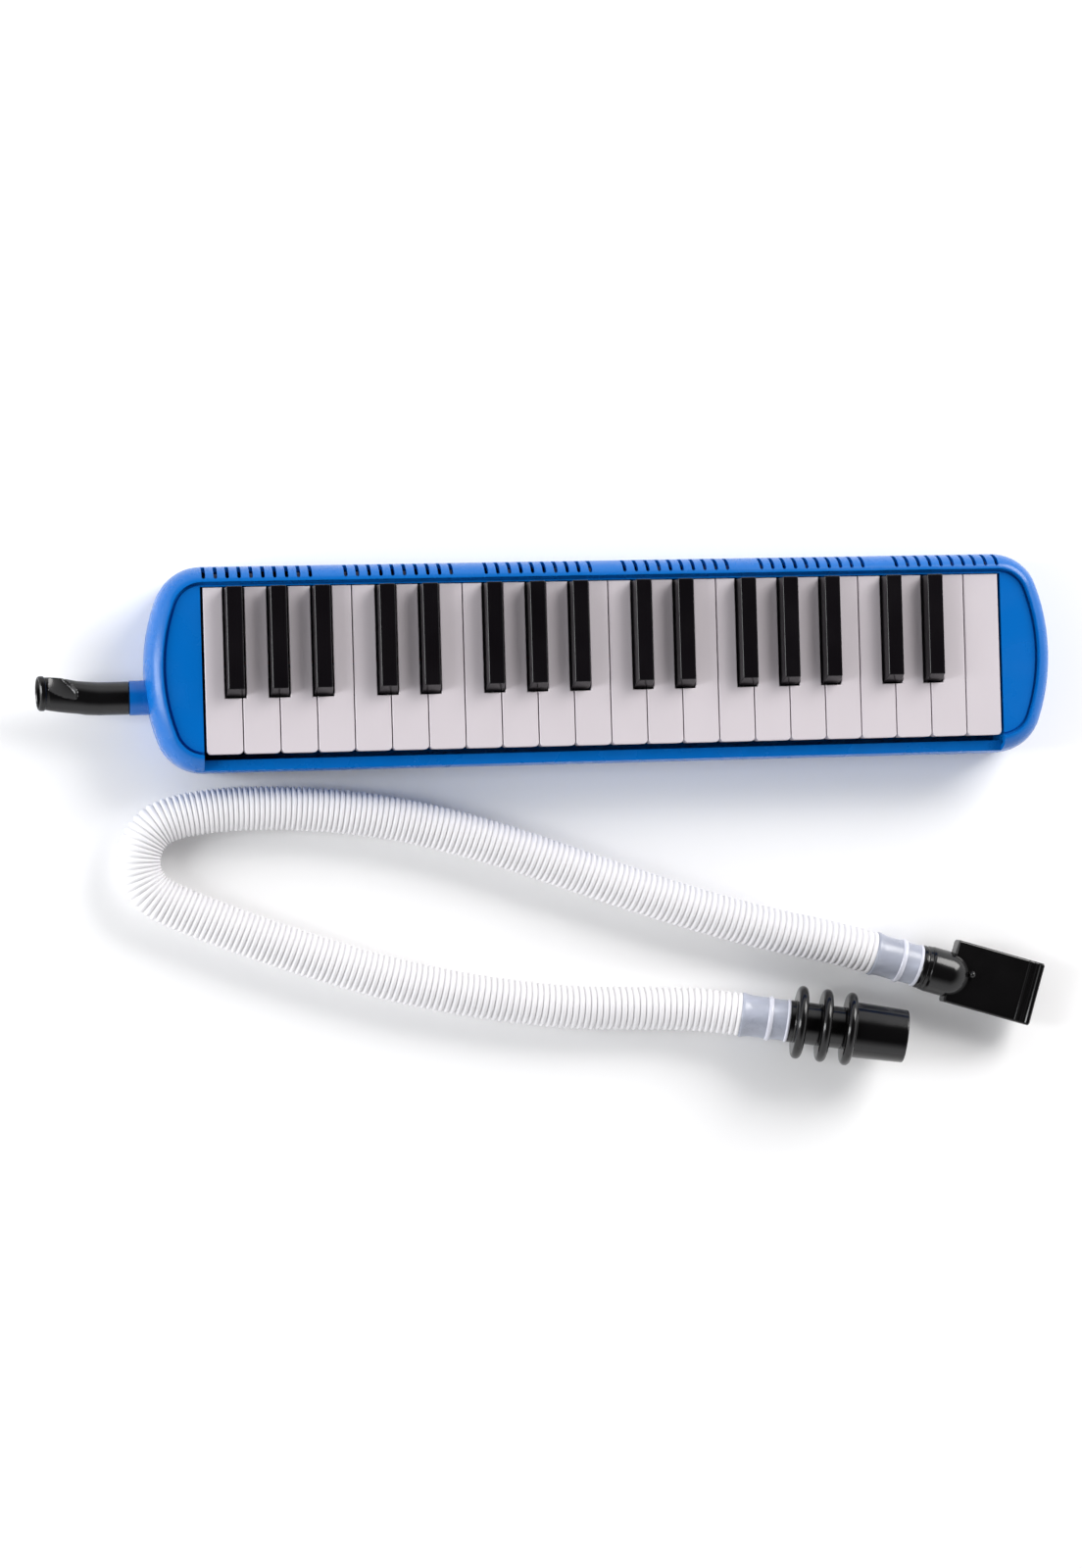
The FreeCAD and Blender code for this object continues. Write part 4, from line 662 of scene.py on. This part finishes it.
def short_mouthpiece():
    """A round stem flattened towards its leaning lip, with a scoop on top and an oval mouth."""
    outside = [beak_ring(*section) for section in between_sections(BEAK_SECTIONS, 0.35)]
    outside = [[scooped(point) for point in ring_points] for ring_points in outside]
    spigot = [beak_ring(-6.0, 6.0, 6.0, 0.0, 0.0), beak_ring(-0.1, 6.0, 6.0, 0.0, 0.0)]
    inside = [beak_ring(*section) for section in between_sections(MOUTH_SECTIONS, 1.5)]
    bm = bmesh.new()
    rows = skin(bm, spigot + outside + inside)
    cap(bm, rows[0])
    cap(bm, rows[-1])
    place(bm, Matrix.Identity(4))
    piece = add_object("beak_mouthpiece", bm, sharp=math.radians(24))
    return finish_piece(piece, "mouthpiece", "black_plastic", "short_mouthpiece")


short_mouthpiece()

# --- the hand strap under the case ---------------------------------------------------------------


STRAP_SLACK, STRAP_RIPPLE, STRAP_WAVES = 0.45, 0.10, 9
CLAMPED_SHARE, SELVAGE_SHARE = 0.07, 0.6


def hand_strap():
    """A woven band between its two clamped ends, slack enough to bow a little."""
    low, high = (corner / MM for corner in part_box("hand_strap"))
    long_steps, wide_steps = 150, 10

    def middle(x, y):
        share = (x - low.x) / (high.x - low.x)
        side = abs(2 * (y - low.y) / (high.y - low.y) - 1)
        free = (share - CLAMPED_SHARE) / (1 - 2 * CLAMPED_SHARE)
        bow = math.sin(math.pi * min(max(free, 0.0), 1.0))
        ripple = STRAP_RIPPLE * math.sin(share * math.pi * STRAP_WAVES) * bow * side
        return (low.z + high.z) / 2 + STRAP_SLACK * bow * (1 - 0.35 * side) + ripple

    half = (high.z - low.z) / 2 - 0.12
    halves = [half * (SELVAGE_SHARE if j in (0, wide_steps) else 1.0)
              for j in range(wide_steps + 1)]
    sections = []
    for i in range(long_steps + 1):
        x = low.x + (high.x - low.x) * i / long_steps
        ys = [low.y + (high.y - low.y) * j / wide_steps for j in range(wide_steps + 1)]
        under = [Vector((x, y, middle(x, y) - thin)) for y, thin in zip(ys, halves)]
        over = [Vector((x, y, middle(x, y) + thin)) for y, thin in zip(ys, halves)]
        sections.append(under + over[::-1])
    bm = bmesh.new()
    rows = skin(bm, sections)
    cap(bm, rows[0])
    cap(bm, rows[-1])
    place(bm, Matrix.Identity(4))
    piece = add_object("webbing_strap", bm)
    return finish_piece(piece, "case", "strap_webbing", "hand_strap")


hand_strap()

# --- the drain button's spring -------------------------------------------------------------------

SPRING_TURNS, SPRING_WIRE, SPRING_STEPS, WIRE_SIDES = 4, 0.25, 40, 16


def drain_spring():
    """A coil between the drain button's head and the wind chest, which the button squeezes."""
    low, high = (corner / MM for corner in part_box("drain_spring"))
    centre = (low + high) / 2
    radius = (high.x - low.x) / 2 - SPRING_WIRE
    climb = high.z - low.z - 2 * SPRING_WIRE
    steps = SPRING_TURNS * SPRING_STEPS
    rings = []
    for i in range(steps + 1):
        turn = 2 * math.pi * i / SPRING_STEPS
        out = Vector((math.cos(turn), math.sin(turn), 0.0))
        middle = Vector((centre.x, centre.y, low.z + SPRING_WIRE + climb * i / steps))
        middle += radius * out
        angles = (2 * math.pi * j / WIRE_SIDES for j in range(WIRE_SIDES))
        rings.append([middle + SPRING_WIRE * (out * math.cos(a) + Vector((0, 0, math.sin(a))))
                      for a in angles])
    bm = bmesh.new()
    rows = skin(bm, rings)
    cap(bm, rows[0])
    cap(bm, rows[-1])
    place(bm, Matrix.Identity(4))
    coil = finish_piece(add_object("drain_coil", bm), "case", "steel", "drain_spring")
    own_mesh(coil)


drain_spring()

# --- materials on the CAD nodes ------------------------------------------------------------------

for part in frame["record"]["subparts"]:
    node = frame["nodes"][part["node"]]
    node.data.materials.clear()
    node.data.materials.append(MATERIALS[part["material_slot"]])

# --- floor, light and world ----------------------------------------------------------------------

FLOOR_HALF = 3.0


def floor():
    bm = bmesh.new()
    corners = [(-1, -1), (1, -1), (1, 1), (-1, 1)]
    bm.faces.new([bm.verts.new((x * FLOOR_HALF, y * FLOOR_HALF, 0.0)) for x, y in corners])
    ground = add_object("floor", bm)
    paint = Paint("floor_white", Specular_IOR_Level=0.1)
    paint.colour(paint.tones(paint.noise(0.4, 2.0), (0.3, (0.95, 0.95, 0.95)),
                             (0.7, (0.965, 0.965, 0.965))))
    paint.rough(paint.between(paint.noise(0.1, 2.0), 0.75, 0.9))
    ground.data.materials.append(paint.material)


def soft_light(name, place_at, size, power, colour=(1.0, 1.0, 1.0), target=(0.0, -0.06, 0.0)):
    data = bpy.data.lights.new(name, "AREA")
    data.shape = "RECTANGLE"
    data.size, data.size_y = size
    data.energy = power
    data.color = colour
    lamp = bpy.data.objects.new(name, data)
    lamp.location = place_at
    way = Vector(place_at) - Vector(target)
    lamp.rotation_euler = way.to_track_quat("Z", "Y").to_euler()
    bpy.context.scene.collection.objects.link(lamp)


def studio_world():
    """An even surround, brighter at the horizon than overhead."""
    world = bpy.data.worlds.new("studio")
    world.use_nodes = True
    nodes, links = world.node_tree.nodes, world.node_tree.links
    direction = nodes.new("ShaderNodeTexCoord")
    split = nodes.new("ShaderNodeSeparateXYZ")
    ramp = nodes.new("ShaderNodeValToRGB")
    links.new(direction.outputs["Generated"], split.inputs["Vector"])
    links.new(split.outputs["Z"], ramp.inputs["Fac"])
    stops = [(0.0, 1.2), (0.5, 1.15), (0.85, 0.015)]
    ramp.color_ramp.elements.new(0.5)
    for element, (where, level) in zip(ramp.color_ramp.elements, stops):
        element.position = where
        element.color = (level, level, level * 1.02, 1.0)
    links.new(ramp.outputs["Color"], nodes["Background"].inputs["Color"])
    nodes["Background"].inputs["Strength"].default_value = 1.0
    bpy.context.scene.world = world


floor()
soft_light("key_light", (1.25, 1.05, 1.05), (1.1, 1.1), 36.0, (1.0, 0.985, 0.97))
soft_light("left_light", (-1.35, 0.0, 0.42), (0.4, 1.5), 19.0, (0.97, 0.985, 1.0))
studio_world()
bpy.context.scene.view_settings.view_transform = "Standard"
